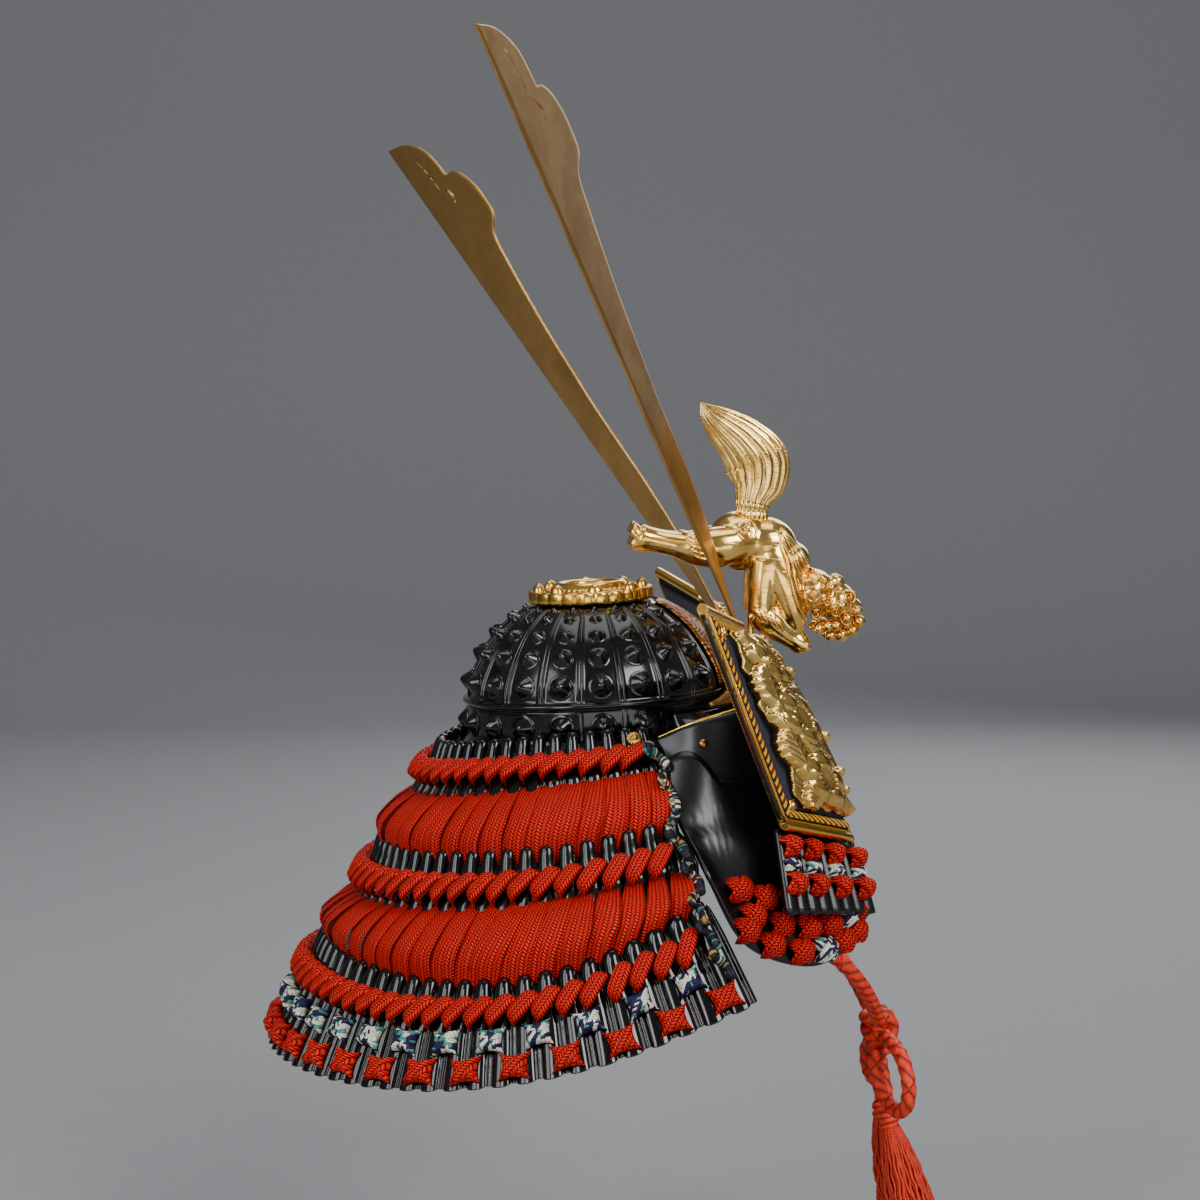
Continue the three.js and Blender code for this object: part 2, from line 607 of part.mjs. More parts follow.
function cap(foot, direction, radius, height) {
  const profile = [[0, 0], [radius, 0], [radius * 0.8, height * 0.7], [0, height]];
  return standOn(lathe(profile, 8), foot, direction.normalize());
}

SIDES.forEach(([name, side]) => {
  addPiece(`turn_back_upper_${name}`, bentPlate(UPPER_PLATE, side), LACQUER);
  addPiece(`turn_back_lower_${name}`, bentPlate(LOWER_PLATE, side), LACQUER);
  addPiece(`wing_rim_${name}`, borderSweep(side, RIM_SECTION), GOLD);
  addPiece(`wing_tape_${name}`, borderSweep(side, TAPE_SECTION), TAPE);
  addPiece(`wing_cloth_${name}`, wingLayer(side, [0.13, 0.5, 0.98], [0.08, 0.5, 0.92], 1.5, 2.1), NAVY_CLOTH);
  addPiece(`wing_relief_${name}`, wingRelief(side), GOLD);
  addPiece(`lower_wing_knots_top_${name}`, wingKnots(side, 0.76), RED_LACING);
  addPiece(`lower_wing_knots_middle_${name}`, wingKnots(side, 0.51), MIXED_LACING);
  addPiece(`lower_wing_knots_bottom_${name}`, wingKnots(side, 0.26), RED_LACING);
  addPiece(`hollow_lacing_${name}`, hollowLacing(side), RED_LACING);
  addPiece(`front_lacing_${name}`, frontLacing(side), MIXED_LACING);
  const flowerAt = lamePoint(0, 0.02, side * 0.93, 2.2, 0.9);
  addPiece(`chrysanthemum_rivet_${name}`, cap(flowerAt, vec(side, -0.15, 0.8), 2.3, 1.8), BRASS);
  const studAt = platePoint(UPPER_PLATE, side, 1.05, 0.72, -SHEET / 2 - GAP);
  addPiece(`copper_rivet_${name}`, cap(studAt, vec(side, 0.1, 0.25), 1.3, 1), COPPER_GOLD);
});

// ---------------------------------------------------------------- horns and their socket
// Distance up the horn and width there; the outer edge is straight, the inner one is shaped.
const HORN_STATIONS = [
  { along: 0, width: 4.5 }, { along: 12, width: 5.5 }, { along: 22, width: 7.5 }, { along: 32, width: 9.2 },
  { along: 46, width: 11.2 }, { along: 66, width: 11.6 }, { along: 97, width: 12.4 },
  { along: 112, width: 13.6 }, { along: 128, width: 15 }, { along: 143, width: 17 },
  { along: 155, width: 19 }, { along: 165, width: 21.4 }, { along: 169, width: 27.2 },
  { along: 175, width: 28.2 }, { along: 182, width: 27.6 }, { along: 189, width: 25 },
  { along: 193, width: 21.6 }, { along: 194.5, width: 18.8 }, { along: 200, width: 18.2 },
  { along: 206, width: 17 }, { along: 212, width: 13.8 }, { along: 218, width: 8.4 },
  { along: 223.5, width: 0 },
];
const HORN_SLIT = [[14.6, 186], [15.4, 189.5], [17.4, 192.2], [16.4, 189], [15.6, 186.6]];
const HORN_FOOT = vec(6.5, -47.6, 8);
// The two horns don't lean alike: the left one sits further back in its socket.
const HORN_TIPS = { right: vec(-115, 37, 186), left: vec(107, 66, 176) };
const HORN_TURN = 0.3;         // backward part of the blade's width direction

// Axes of a blade: width outward, length to the tip, then thickness.
function hornFrame(name, side) {
  const foot = vec(side * HORN_FOOT.x, HORN_FOOT.y, HORN_FOOT.z);
  const along = HORN_TIPS[name].clone().sub(foot).normalize();
  const wide = vec(side * 0.8, HORN_TURN, 0);
  wide.z = -(along.x * wide.x + along.y * wide.y) / along.z;
  wide.normalize();
  return new THREE.Matrix4().makeBasis(wide, along, wide.clone().cross(along)).setPosition(foot);
}

function horn(name, side) {
  const inner = HORN_STATIONS.map(({ along, width }) => new THREE.Vector2(-width, along));
  const outline = new THREE.Shape([new THREE.Vector2(0, 0), ...inner]);
  outline.holes.push(new THREE.Path(HORN_SLIT.map(([x, y]) => new THREE.Vector2(-x, y))));
  const blade = new THREE.ExtrudeGeometry(outline, { depth: HORN_THICKNESS, bevelEnabled: false });
  blade.translate(0, 0, -HORN_THICKNESS / 2);
  blade.applyMatrix4(hornFrame(name, side));
  return plain(blade);
}

function hornSlot(name, side) {
  const slot = new THREE.BoxGeometry(7.5, 20, HORN_THICKNESS + 2 * GAP);
  slot.translate(-2.6, 9.5, 0);
  slot.applyMatrix4(hornFrame(name, side));
  return plain(slot);
}

// Crescent base over the brow with a block that the horns and the crest are pushed into.
function hornSocket() {
  const skin = (radius) => [0, 1].map((t) => range(11).map((k) => {
    const a = -1 + k / 5;
    return polar(radius, 180 + a * 42, lerp(0.8, 2.2 + 8.5 * Math.cos(a * 1.45) ** 2, t));
  }));
  const block = new THREE.BoxGeometry(24, 7, 11);
  block.translate(0, -46.6, 6.2);
  const post = new THREE.BoxGeometry(4 + 2 * GAP, 2 + 2 * GAP, 12);
  post.translate(0, -46.6, 10);
  return fuse([wallBetween(skin(43.4), skin(42.0)), plain(block)],
    [hornSlot('right', -1), hornSlot('left', 1), plain(post)]);
}
addPiece('horn_socket', hornSocket(), BRASS);
SIDES.forEach(([name, side]) => addPiece(`horn_${name}`, horn(name, side), BRASS));

// ---------------------------------------------------------------- lion crest
function lump(center, radii, sides = 8, rings = 5) {
  const ball = new THREE.SphereGeometry(1, sides, rings);
  ball.scale(...radii);
  ball.translate(...center);
  return plain(ball);
}

function limb(from, to, r0, r1) {
  const [a, b] = [vec(...from), vec(...to)];
  const length = a.distanceTo(b);
  return standOn(lathe([[0, -r0 * 0.8], [r0, 0], [r1, length], [0, length + r1 * 0.8]], 6), a,
    b.clone().sub(a).normalize());
}

// Flame tail: an outline in the mid-plane, thick in the middle.
function flameTail() {
  const outline = new THREE.Shape();
  outline.moveTo(-43, 54);
  outline.quadraticCurveTo(-39.5, 68, -36.5, 76);
  outline.quadraticCurveTo(-33, 82, -31.5, 89.5);
  outline.quadraticCurveTo(-40, 86.5, -47, 82);
  outline.quadraticCurveTo(-57, 77, -58.2, 69.5);
  outline.quadraticCurveTo(-57.5, 62, -52, 54);
  const flame = new THREE.ExtrudeGeometry(outline, {
    depth: 3, curveSegments: 3, bevelSize: 1.2, bevelThickness: 2, bevelSegments: 1, bevelOffset: -1.2,
  });
  flame.translate(0, 0, -1.5);
  flame.applyMatrix4(new THREE.Matrix4().makeBasis(vec(0, 1, 0), vec(0, 0, 1), vec(1, 0, 0)));
  return plain(flame);
}

function lion() {
  const post = new THREE.BoxGeometry(4, 2, 38);
  post.translate(0, -46.6, 24);
  const body = [
    lump([0, -45.5, 47], [8.5, 10.5, 9.3]),
    lump([0, -57, 41], [8.6, 10.5, 9]),
    lump([0, -66.5, 34], [9.4, 8.4, 8.6]),
    lump([0, -74, 27.5], [8, 7, 6.4]),
    lump([0, -79, 25], [4.6, 4, 4], 6, 4),
    flameTail(),
    plain(post),
  ];
  const legs = [-1, 1].flatMap((side) => [
    limb([side * 5, -41, 47], [side * 5.2, -27, 47], 5.6, 4),
    limb([side * 5.2, -27, 47], [side * 5, -13.4, 49], 4, 4.2),
    limb([side * 5, -54, 36], [side * 5.4, -48.6, 28.5], 4, 3.4),
    limb([side * 5.4, -49.4, 28.2], [side * 5, -61.5, 15.8], 3.2, 3),
  ]);
  return fuse([...body, ...legs]);
}
addPiece('lion_crest', lion(), PALE_GOLD);

// ---------------------------------------------------------------- chin cord, knot and tassels
// Routes for the left side: from the ring inside the band down to the knot, round one bow
// loop, and from the knot down to the tassel.
const STRAP_ROUTE = [[31, -15.5, -16.5], [32.2, -19, -22.2], [33.4, -22.8, -28.2], [34.8, -27, -34],
  [36.2, -31.6, -39.6], [37.3, -36.8, -45], [38.2, -42.4, -50.2], [38.8, -48.6, -55.8], [39, -55, -61.2],
  [38.6, -61.2, -66.2], [37.2, -67.2, -71], [34.2, -72.4, -76], [29.6, -76.4, -81], [24, -79.6, -86],
  [17, -82.6, -91.4], [9.4, -85.2, -97.2]];
const LOOP_ROUTE = [[8, -87.4, -102], [11.4, -88.2, -102.6], [15, -89, -103.2], [18.6, -89.8, -104.3],
  [22.2, -90.6, -106.2], [25, -91.2, -109], [26.6, -91.6, -112.4], [26.6, -91.6, -116], [24.8, -91.2, -119.4],
  [21.6, -90.2, -121.8], [17.8, -88.8, -122.2], [14, -87.2, -120.6], [11.2, -85.6, -117.6], [9.8, -84.7, -114],
  [9, -84.5, -110.4], [7.4, -85.4, -107]];
const TAIL_ROUTE = [[3.2, -86.8, -110.6], [4.2, -87.4, -115], [5.2, -88.2, -120], [6, -88.8, -125]];
const onSide = (points, side) => points.map(([x, y, z]) => vec(x * side, y, z));

function cord(route, side) {
  const curve = smoothCurve(onSide(route, side));
  const steps = Math.round(curve.getLength() / (2.4 * CORD_DIAMETER));
  return tube(curve, CORD_DIAMETER / 2, CORD_SIDES, Math.max(steps, 2));
}

// Round tie knot: four lobes of cord pulled together.
function knot() {
  return fuse([
    lump([0, -86, -100.5], [5.8, 5, 5.2], 8, 4),
    lump([-2.4, -87.2, -104.6], [3.6, 3.8, 3.6], 6, 4),
    lump([2.4, -87.2, -104.6], [3.6, 3.8, 3.6], 6, 4),
    lump([0, -85.4, -96.6], [4.6, 4, 3.4], 6, 4),
  ]);
}

// Tassel: a bound head and a skirt of threads in locks, swept forward and outward.
function tassel(side) {
  const top = vec(side * 6.4, -89.2, -127.9);
  const locks = 12;
  const rows = [{ t: 0, r: 2.4 }, { t: 0.25, r: 6 }, { t: 0.6, r: 9.4 }, { t: 1, r: 11 }];
  const skirt = sweepRings(rows.map(({ t, r }) => range(locks).map((k) => {
    const a = (k * 2 * Math.PI) / locks;
    const radius = r * (k % 2 ? 0.82 : 1);
    const drop = TASSEL_LENGTH * t * (k % 2 && t === 1 ? 0.94 : 1);
    const x = top.x + side * 7.5 * t + radius * Math.cos(a);
    return vec(x, top.y - 9 * t + radius * 0.75 * Math.sin(a), top.z - 1 - drop);
  })));
  return fuse([lump([top.x, top.y, top.z], [3.2, 3.2, 2.2], 8, 4), skirt]);
}

function cordRing(side) {
  const ring = new THREE.TorusGeometry(2.8, 0.8, 5, 10);
  ring.rotateX(Math.PI / 2);
  ring.rotateZ(side * 0.4);
  ring.translate(side * 31.4, -14.6, -10.6);
  return plain(ring);
}

SIDES.forEach(([name, side]) => {
  addPiece(`cord_ring_${name}`, cordRing(side), BRASS);
  addPiece(`chin_cord_${name}`, cord(STRAP_ROUTE, side), CORD_RED);
  addPiece(`cord_loop_${name}`, cord(LOOP_ROUTE, side), CORD_RED);
  addPiece(`cord_tail_${name}`, cord(TAIL_ROUTE, side), CORD_RED);
  addPiece(`tassel_${name}`, tassel(side), CORD_RED);
});
addPiece('cord_knot', knot(), CORD_RED);

export default held;
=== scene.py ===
"""Looks of an ornamental kabuto helmet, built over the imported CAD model.

Lengths in this file are millimetres in the helmet's drawing frame (+Z up, -Y forward, the
right side at -X, height zero at the bowl's rim) until frame_points turns them into the
row frame's metres, whose origin lies SEAT_HEIGHT higher, under the crown.
"""
import math

import bpy
import numpy as np
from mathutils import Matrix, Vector


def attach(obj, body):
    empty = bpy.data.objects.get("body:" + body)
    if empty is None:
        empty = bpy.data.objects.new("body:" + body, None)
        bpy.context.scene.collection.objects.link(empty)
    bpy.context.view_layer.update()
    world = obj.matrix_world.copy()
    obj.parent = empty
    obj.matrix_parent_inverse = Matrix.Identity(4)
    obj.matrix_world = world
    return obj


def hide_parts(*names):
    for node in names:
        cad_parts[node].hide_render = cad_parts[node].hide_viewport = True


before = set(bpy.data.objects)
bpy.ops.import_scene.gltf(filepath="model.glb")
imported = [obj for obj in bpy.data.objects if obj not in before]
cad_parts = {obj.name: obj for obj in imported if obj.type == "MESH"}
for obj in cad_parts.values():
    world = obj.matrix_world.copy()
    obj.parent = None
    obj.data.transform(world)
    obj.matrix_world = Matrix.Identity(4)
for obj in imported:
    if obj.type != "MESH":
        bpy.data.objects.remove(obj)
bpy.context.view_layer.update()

# ------------------------------------------------------------------ driving dimensions
SEAT_HEIGHT = 28.5
BOWL_COLUMNS = 20
BOWL_LEAN = math.radians(3)
KNOTS = 26
SIDE_TAPER = 0.12
PLAN_POWER = 1.85
SHEET = 1.4
CORD_DIAMETER = 4.4
TASSEL_LENGTH = 40
RIGHT, LEFT = -1, 1
SIDES = (("right", RIGHT), ("left", LEFT))
HELMET_MIDDLE = (0, 0, -0.02)
LOWEST = -197.4
FLOOR_GAP = 24
CORD_LAY = 13.2
chance = np.random.default_rng(41)


# ------------------------------------------------------------------ small numpy tools
def frame_points(points):
    """Drawing millimetres to row-frame metres: lowered by the seat's height, then scaled."""
    return (np.asarray(points, float) - [0, 0, SEAT_HEIGHT]) * 0.001


def leaned(points):
    """The bowl's lean: a turn of three degrees about X that lifts the brow."""
    points = np.asarray(points, float)
    c, s = math.cos(BOWL_LEAN), math.sin(BOWL_LEAN)
    x, y, z = np.moveaxis(points, -1, 0)
    return np.stack([x, y * c + z * s, z * c - y * s], -1)


def polar(r, angle, z):
    """A point at an angle round the bowl's axis, from the rear towards the right side."""
    r, angle, z = np.broadcast_arrays(r, angle, z)
    return np.stack([-r * np.sin(angle), r * np.cos(angle), z], -1)


def unit(v):
    """Vectors scaled to length one along the last axis."""
    return v / np.maximum(np.linalg.norm(v, axis=-1, keepdims=True), 1e-9)


def eased(points, count):
    """A smooth run through control points, Catmull-Rom in pieces, at count even parameters."""
    points = np.asarray(points, float)
    first, last = 2 * points[:1] - points[1:2], 2 * points[-1:] - points[-2:-1]
    padded = np.concatenate([first, points, last])
    t = np.linspace(0, len(points) - 1, count)
    i = np.minimum(t.astype(int), len(padded) - 4)
    f = (t - i)[:, None]
    p0, p1, p2, p3 = padded[i], padded[i + 1], padded[i + 2], padded[i + 3]
    return 0.5 * (2 * p1 + (p2 - p0) * f + (2 * p0 - 5 * p1 + 4 * p2 - p3) * f ** 2
                  + (3 * p1 - p0 - 3 * p2 + p3) * f ** 3)


def run_lengths(points):
    """Distance travelled along a line of points, starting at zero."""
    step = np.linalg.norm(np.diff(points, axis=0), axis=1)
    return np.concatenate([[0], np.cumsum(step)])


def grid_faces(rows, cols, wrap_rows=False, wrap_cols=False):
    """Quads of a rows-by-cols grid of vertices, joined round in either direction if asked."""
    r = np.arange(rows if wrap_rows else rows - 1)
    c = np.arange(cols if wrap_cols else cols - 1)
    r, c = np.meshgrid(r, c, indexing="ij")
    r2, c2 = (r + 1) % rows, (c + 1) % cols
    return np.stack([r * cols + c, r * cols + c2, r2 * cols + c2, r2 * cols + c], -1).reshape(-1, 4)


class Shape:
    """Vertices, quads, texture coordinates at the vertices and a shade value, gathered in
    millimetres. A quad whose last two corners are equal is a triangle."""

    def __init__(self):
        self.parts = []
        self.count = 0

    def add(self, points, faces, uv=None, shade=None):
        points = np.asarray(points, float).reshape(-1, 3)
        n = len(points)
        uv = np.zeros((n, 2)) if uv is None else np.asarray(uv, float).reshape(-1, 2)
        shade = np.zeros(n) if shade is None else np.broadcast_to(shade, (n,)).astype(float)
        self.parts.append((points, np.asarray(faces, int) + self.count, uv, shade))
        self.count += n
        return self

    def arrays(self):
        return tuple(np.concatenate([part[k] for part in self.parts]) for k in range(4))


def volume(points, faces):
    """Signed volume of a closed mesh of quads, each taken as two triangles."""
    a, b, c, d = (points[faces[:, k]] for k in range(4))
    return (np.einsum("ij,ij->", a, np.cross(b, c)) + np.einsum("ij,ij->", a, np.cross(c, d))) / 6


def make_piece(name, shape, material, nodes=(), lean=False, merge=1e-3):
    """Puts a Shape into a mesh object at the origin that rides the root body. Shared points
    within the merge distance become one, so that walls close."""
    points, faces, uv, shade = shape.arrays()
    if lean:
        points = leaned(points)
    key = np.round(points / merge).astype(np.int64)
    _, keep, back = np.unique(key, axis=0, return_index=True, return_inverse=True)
    merged = back.reshape(-1)[faces]
    points = points[keep]
    if volume(points, merged) < 0:
        merged, faces = merged[:, ::-1], faces[:, ::-1]
    corners = [merged[:, k] for k in range(4)]
    drop = [corners[k] == corners[(k + 1) % 4] for k in range(4)]
    used = ~np.stack(drop, 1)
    good = used.sum(1) >= 3
    used[~good] = False
    flat, source = merged[used], faces[used]
    sizes = used.sum(1)[good]
    mesh = bpy.data.meshes.new(name)
    mesh.vertices.add(len(points))
    mesh.vertices.foreach_set("co", frame_points(points).astype(np.float32).ravel())
    mesh.loops.add(len(flat))
    mesh.loops.foreach_set("vertex_index", flat.astype(np.int32))
    mesh.polygons.add(len(sizes))
    starts = np.concatenate([[0], np.cumsum(sizes)[:-1]])
    mesh.polygons.foreach_set("loop_start", starts.astype(np.int32))
    mesh.polygons.foreach_set("use_smooth", np.ones(len(sizes), bool))
    layer = mesh.uv_layers.new(name="UVMap")
    layer.data.foreach_set("uv", uv[source].astype(np.float32).ravel())
    tone = mesh.attributes.new("shade", "FLOAT", "CORNER")
    tone.data.foreach_set("value", shade[source].astype(np.float32))
    mesh.update(calc_edges=True)
    mesh.validate()
    return dress(bpy.data.objects.new(name, mesh), material, nodes)


def dress(piece, material, nodes=()):
    """Links a piece, gives it its material and body, and hides the CAD nodes that it stands for."""
    if piece.name not in bpy.context.scene.collection.objects:
        bpy.context.scene.collection.objects.link(piece)
    piece.data.materials.clear()
    piece.data.materials.append(material)
    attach(piece, "root")
    if nodes:
        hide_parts(*([nodes] if isinstance(nodes, str) else nodes))
    return piece


def sharpen(piece, degrees):
    """Keeps edges sharper than an angle crisp under smooth shading."""
    mesh = piece.data
    mesh.update()
    mesh.set_sharp_from_angle(angle=math.radians(degrees))
    return piece


def wall(shape, outer, inner, uv=None, shade=None):
    """Adds a closed wall between two equal grids of points: both skins and the four edges."""
    rows, cols = outer.shape[:2]
    n = rows * cols
    faces = grid_faces(rows, cols)
    index = np.arange(n).reshape(rows, cols)
    loop = np.concatenate([index[0], index[1:, -1], index[-1, -2::-1], index[-2:0:-1, 0]])
    after = np.roll(loop, -1)
    rim = np.stack([after, loop, loop + n, after + n], 1)
    uv2 = None if uv is None else np.concatenate([uv.reshape(-1, 2)] * 2)
    shade2 = None if shade is None else np.concatenate([np.ravel(shade)] * 2)
    points = np.concatenate([outer.reshape(-1, 3), inner.reshape(-1, 3)])
    return shape.add(points, np.concatenate([faces, faces[:, ::-1] + n, rim]), uv2, shade2)


def pierced_wall(shape, outer, inner, kept, uv=None, shade=None):
    """A wall between two grids where only the kept cells are solid: both skins of those
    cells, and an edge face wherever a kept cell meets a left-out one or the border."""
    rows, cols = outer.shape[:2]
    n = rows * cols
    index = np.arange(n).reshape(rows, cols)
    corner = np.stack([index[:-1, :-1], index[:-1, 1:], index[1:, 1:], index[1:, :-1]], -1)
    faces = corner[kept]
    ring = np.pad(kept, 1)
    beside = [ring[:-2, 1:-1], ring[1:-1, 2:], ring[2:, 1:-1], ring[1:-1, :-2]]
    edges = []
    for k, other in enumerate(beside):
        open_side = kept & ~other
        a, b = corner[open_side][:, k], corner[open_side][:, (k + 1) % 4]
        edges.append(np.stack([b, a, a + n, b + n], 1))
    uv2 = None if uv is None else np.concatenate([uv.reshape(-1, 2)] * 2)
    shade2 = None if shade is None else np.concatenate([np.ravel(shade)] * 2)
    points = np.concatenate([outer.reshape(-1, 3), inner.reshape(-1, 3)])
    return shape.add(points, np.concatenate([faces, faces[:, ::-1] + n, *edges]), uv2, shade2)


def lathe(shape, profile, turns, place=None, ripple=None):
    """A closed surface of revolution: profile points (radius, height) carried round the
    axis in turns steps. ripple(angle, k) scales the radius; place maps the points."""
    profile = np.asarray(profile, float)
    angle = np.linspace(0, 2 * np.pi, turns, endpoint=False)
    r = np.repeat(profile[:, :1], turns, 1)
    if ripple is not None:
        r = r * ripple(angle[None, :], np.arange(len(profile))[:, None])
    points = np.stack([r * np.cos(angle), r * np.sin(angle), np.repeat(profile[:, 1:], turns, 1)], -1)
    length = run_lengths(profile)
    uv = np.stack(np.broadcast_arrays(angle[None, :] / (2 * np.pi), length[:, None]), -1)
    if place is not None:
        points = place(points)
    return shape.add(points, grid_faces(len(profile), turns, wrap_cols=True), uv)


def carried(path, closed=False):
    """Frames along a line: tangents, and two sideways directions turned as little as
    possible from one point to the next."""
    path = np.asarray(path, float)
    if closed:
        tangent = unit(np.roll(path, -1, 0) - np.roll(path, 1, 0))
    else:
        tangent = unit(np.gradient(path, axis=0))
    side = np.zeros_like(path)
    first = np.array([0.0, 0.0, 1.0]) if abs(tangent[0, 2]) < 0.9 else np.array([1.0, 0.0, 0.0])
    side[0] = unit(np.cross(tangent[0], first))
    for i in range(1, len(path)):
        side[i] = unit(side[i - 1] - tangent[i] * np.dot(side[i - 1], tangent[i]))
    if closed:
        gap = np.arctan2(np.dot(np.cross(side[-1], side[0]), tangent[0]), np.dot(side[-1], side[0]))
        turn = np.linspace(0, gap, len(path))[:, None]
        side = side * np.cos(turn) + np.cross(tangent, side) * np.sin(turn)
    return tangent, side, np.cross(tangent, side)


def sweep(shape, path, radii, sides=12, closed=False, flat=1.0, twist=0.0, lobes=0, depth=0.0):
    """A circle of the given radii carried along a path, flattened by flat, turned by twist in
    all, with lobes of the given depth round it."""
    path = np.asarray(path, float)
    n = len(path)
    radii = np.broadcast_to(radii, (n,)).astype(float)
    _, a, b = carried(path, closed)
    t = np.linspace(0, 1, n)[:, None]
    angle = np.linspace(0, 2 * np.pi, sides, endpoint=False)[None, :]
    ripple = 1 + depth * np.cos(lobes * angle)
    x, y = np.cos(angle) * ripple, np.sin(angle) * ripple * flat
    c, s = np.cos(twist * t), np.sin(twist * t)
    u, v = (x * c - y * s) * radii[:, None], (x * s + y * c) * radii[:, None]
    points = path[:, None] + a[:, None] * u[..., None] + b[:, None] * v[..., None]
    length = run_lengths(path)
    uv = np.stack(np.broadcast_arrays(angle / (2 * np.pi), length[:, None]), -1)
    if closed:
        return shape.add(points, grid_faces(n, sides, wrap_rows=True, wrap_cols=True), uv)
    ends = np.stack([path[0], path[-1]])[:, None]
    points = np.concatenate([np.repeat(ends[:1], sides, 1), points, np.repeat(ends[1:], sides, 1)])
    uv = np.concatenate([uv[:1], uv, uv[-1:]])
    return shape.add(points, grid_faces(n + 2, sides, wrap_cols=True), uv)


def stamp(shape, template, faces, centers, ax, ay, az, uv, shades=None):
    """Copies of a template of points, one at each center, along that copy's three axes."""
    spots = (centers[:, None] + template[None, :, 0:1] * ax[:, None] + template[None, :, 1:2] * ay[:, None]
             + template[None, :, 2:3] * az[:, None])
    k, n = spots.shape[:2]
    all_faces = (faces[None] + (np.arange(k) * n)[:, None, None]).reshape(-1, 4)
    shades = np.zeros(k) if shades is None else shades
    return shape.add(spots, all_faces, np.tile(uv, (k, 1)), np.repeat(shades, n))


# ------------------------------------------------------------------ camera, floor and lights
def aim(thing, spot):
    """Turns a camera or a light towards a point, keeping it level."""
    thing.rotation_mode = "QUATERNION"
    thing.rotation_quaternion = (Vector(spot) - thing.location).to_track_quat("-Z", "Y")


camera = bpy.data.objects.new("camera", bpy.data.cameras.new("camera"))
bpy.context.scene.collection.objects.link(camera)
camera.data.sensor_width, camera.data.lens = 36, 78
camera.data.clip_start, camera.data.clip_end = 0.01, 20
camera.location = (-0.780, 0.0393, 0.0606)
aim(camera, (0.220, -0.0126, -0.0148))
bpy.context.scene.camera = camera


def soft_light(name, location, size, power, tint=(1, 1, 1)):
    """A large square area light aimed at the helmet; power in watts."""
    data = bpy.data.lights.new(name, "AREA")
    data.shape, data.size, data.size_y = "RECTANGLE", size[0], size[1]
    data.energy, data.color = power, tint
    light = bpy.data.objects.new(name, data)
    light.location = location
    bpy.context.scene.collection.objects.link(light)
    aim(light, HELMET_MIDDLE)
    return light


soft_light("key_softbox", (-1.1, -0.75, 0.95), (0.7, 0.7), 19)
soft_light("rear_softbox", (-0.7, 1.15, 0.65), (0.5, 0.9), 7, (0.94, 0.97, 1))
soft_light("side_strip", (-1.05, 0.7, 0.4), (0.3, 0.8), 6)
soft_light("top_softbox", (0.1, 0.0, 1.3), (0.9, 0.9), 6)
soft_light("far_softbox", (1.2, -0.4, 0.6), (0.8, 1.0), 7)
soft_light("low_fill", (-1.2, -0.2, -0.05), (1.0, 0.35), 2.5, (1, 0.97, 0.93))

world = bpy.data.worlds.new("studio")
bpy.context.scene.world = world
world.use_nodes = True
world.node_tree.nodes["Background"].inputs["Color"].default_value = (0.62, 0.63, 0.65, 1)
world.node_tree.nodes["Background"].inputs["Strength"].default_value = 0.32


# ------------------------------------------------------------------ node trees
class Wires:
    """Shorthand for wiring a node tree: sockets in, sockets out."""

    def __init__(self, tree):
        self.tree = tree

    def node(self, kind, values=None, **settings):
        made = self.tree.nodes.new(kind)
        for key, value in settings.items():
            setattr(made, key, value)
        for key, value in (values or {}).items():
            self.feed(made.inputs[key], value)
        return made

    def feed(self, socket, value):
        if isinstance(value, bpy.types.NodeSocket):
            self.tree.links.new(value, socket)
        elif value is not None:
            socket.default_value = value

    def math(self, operation, a, b=None, c=None, clamp=False):
        made = self.node("ShaderNodeMath", operation=operation, use_clamp=clamp)
        for socket, value in zip(made.inputs, (a, b, c)):
            self.feed(socket, value)
        return made.outputs[0]

    def mix(self, factor, a, b):
        """Colour between a and b."""
        made = self.node("ShaderNodeMix", data_type="RGBA")
        self.feed(made.inputs[0], factor)
        self.feed(made.inputs[6], a)
        self.feed(made.inputs[7], b)
        return made.outputs[2]

    def span(self, value, low, high, to_low=0.0, to_high=1.0, smooth=False):
        """A value's range carried to another range, clamped."""
        made = self.node("ShaderNodeMapRange", {"Value": value, "From Min": low, "From Max": high,
                                                "To Min": to_low, "To Max": to_high})
        if smooth:
            made.interpolation_type = "SMOOTHSTEP"
        return made.outputs[0]

    def join(self, x, y, z=0.0):
        made = self.node("ShaderNodeCombineXYZ")
        for socket, value in zip(made.inputs, (x, y, z)):
            self.feed(socket, value)
        return made.outputs[0]

    def split(self, vector):
        return self.node("ShaderNodeSeparateXYZ", {"Vector": vector}).outputs[:]

    def noise(self, vector, scale, detail=3.0, rough=0.5, stretch=None):
        """Noise value; stretch multiplies the coordinates first."""
        if stretch is not None:
            vector = self.node("ShaderNodeVectorMath", {0: vector, 1: stretch},
                               operation="MULTIPLY").outputs[0]
        return self.node("ShaderNodeTexNoise", {"Vector": vector, "Scale": scale, "Detail": detail,
                                                "Roughness": rough}).outputs["Fac"]

    def cells(self, vector, scale, feature="F1"):
        return self.node("ShaderNodeTexVoronoi", {"Vector": vector, "Scale": scale}, feature=feature)

    def scatter(self, vector):
        """A random number for each whole-numbered cell."""
        return self.node("ShaderNodeTexWhiteNoise", {"Vector": vector},
                         noise_dimensions="3D").outputs["Value"]

    def bump(self, height, depth, strength=1.0, normal=None):
        """A bump of a height from 0 to 1 that stands depth metres out."""
        made = self.node("ShaderNodeBump", {"Height": height, "Distance": depth, "Strength": strength})
        if normal is not None:
            self.feed(made.inputs["Normal"], normal)
        return made.outputs[0]


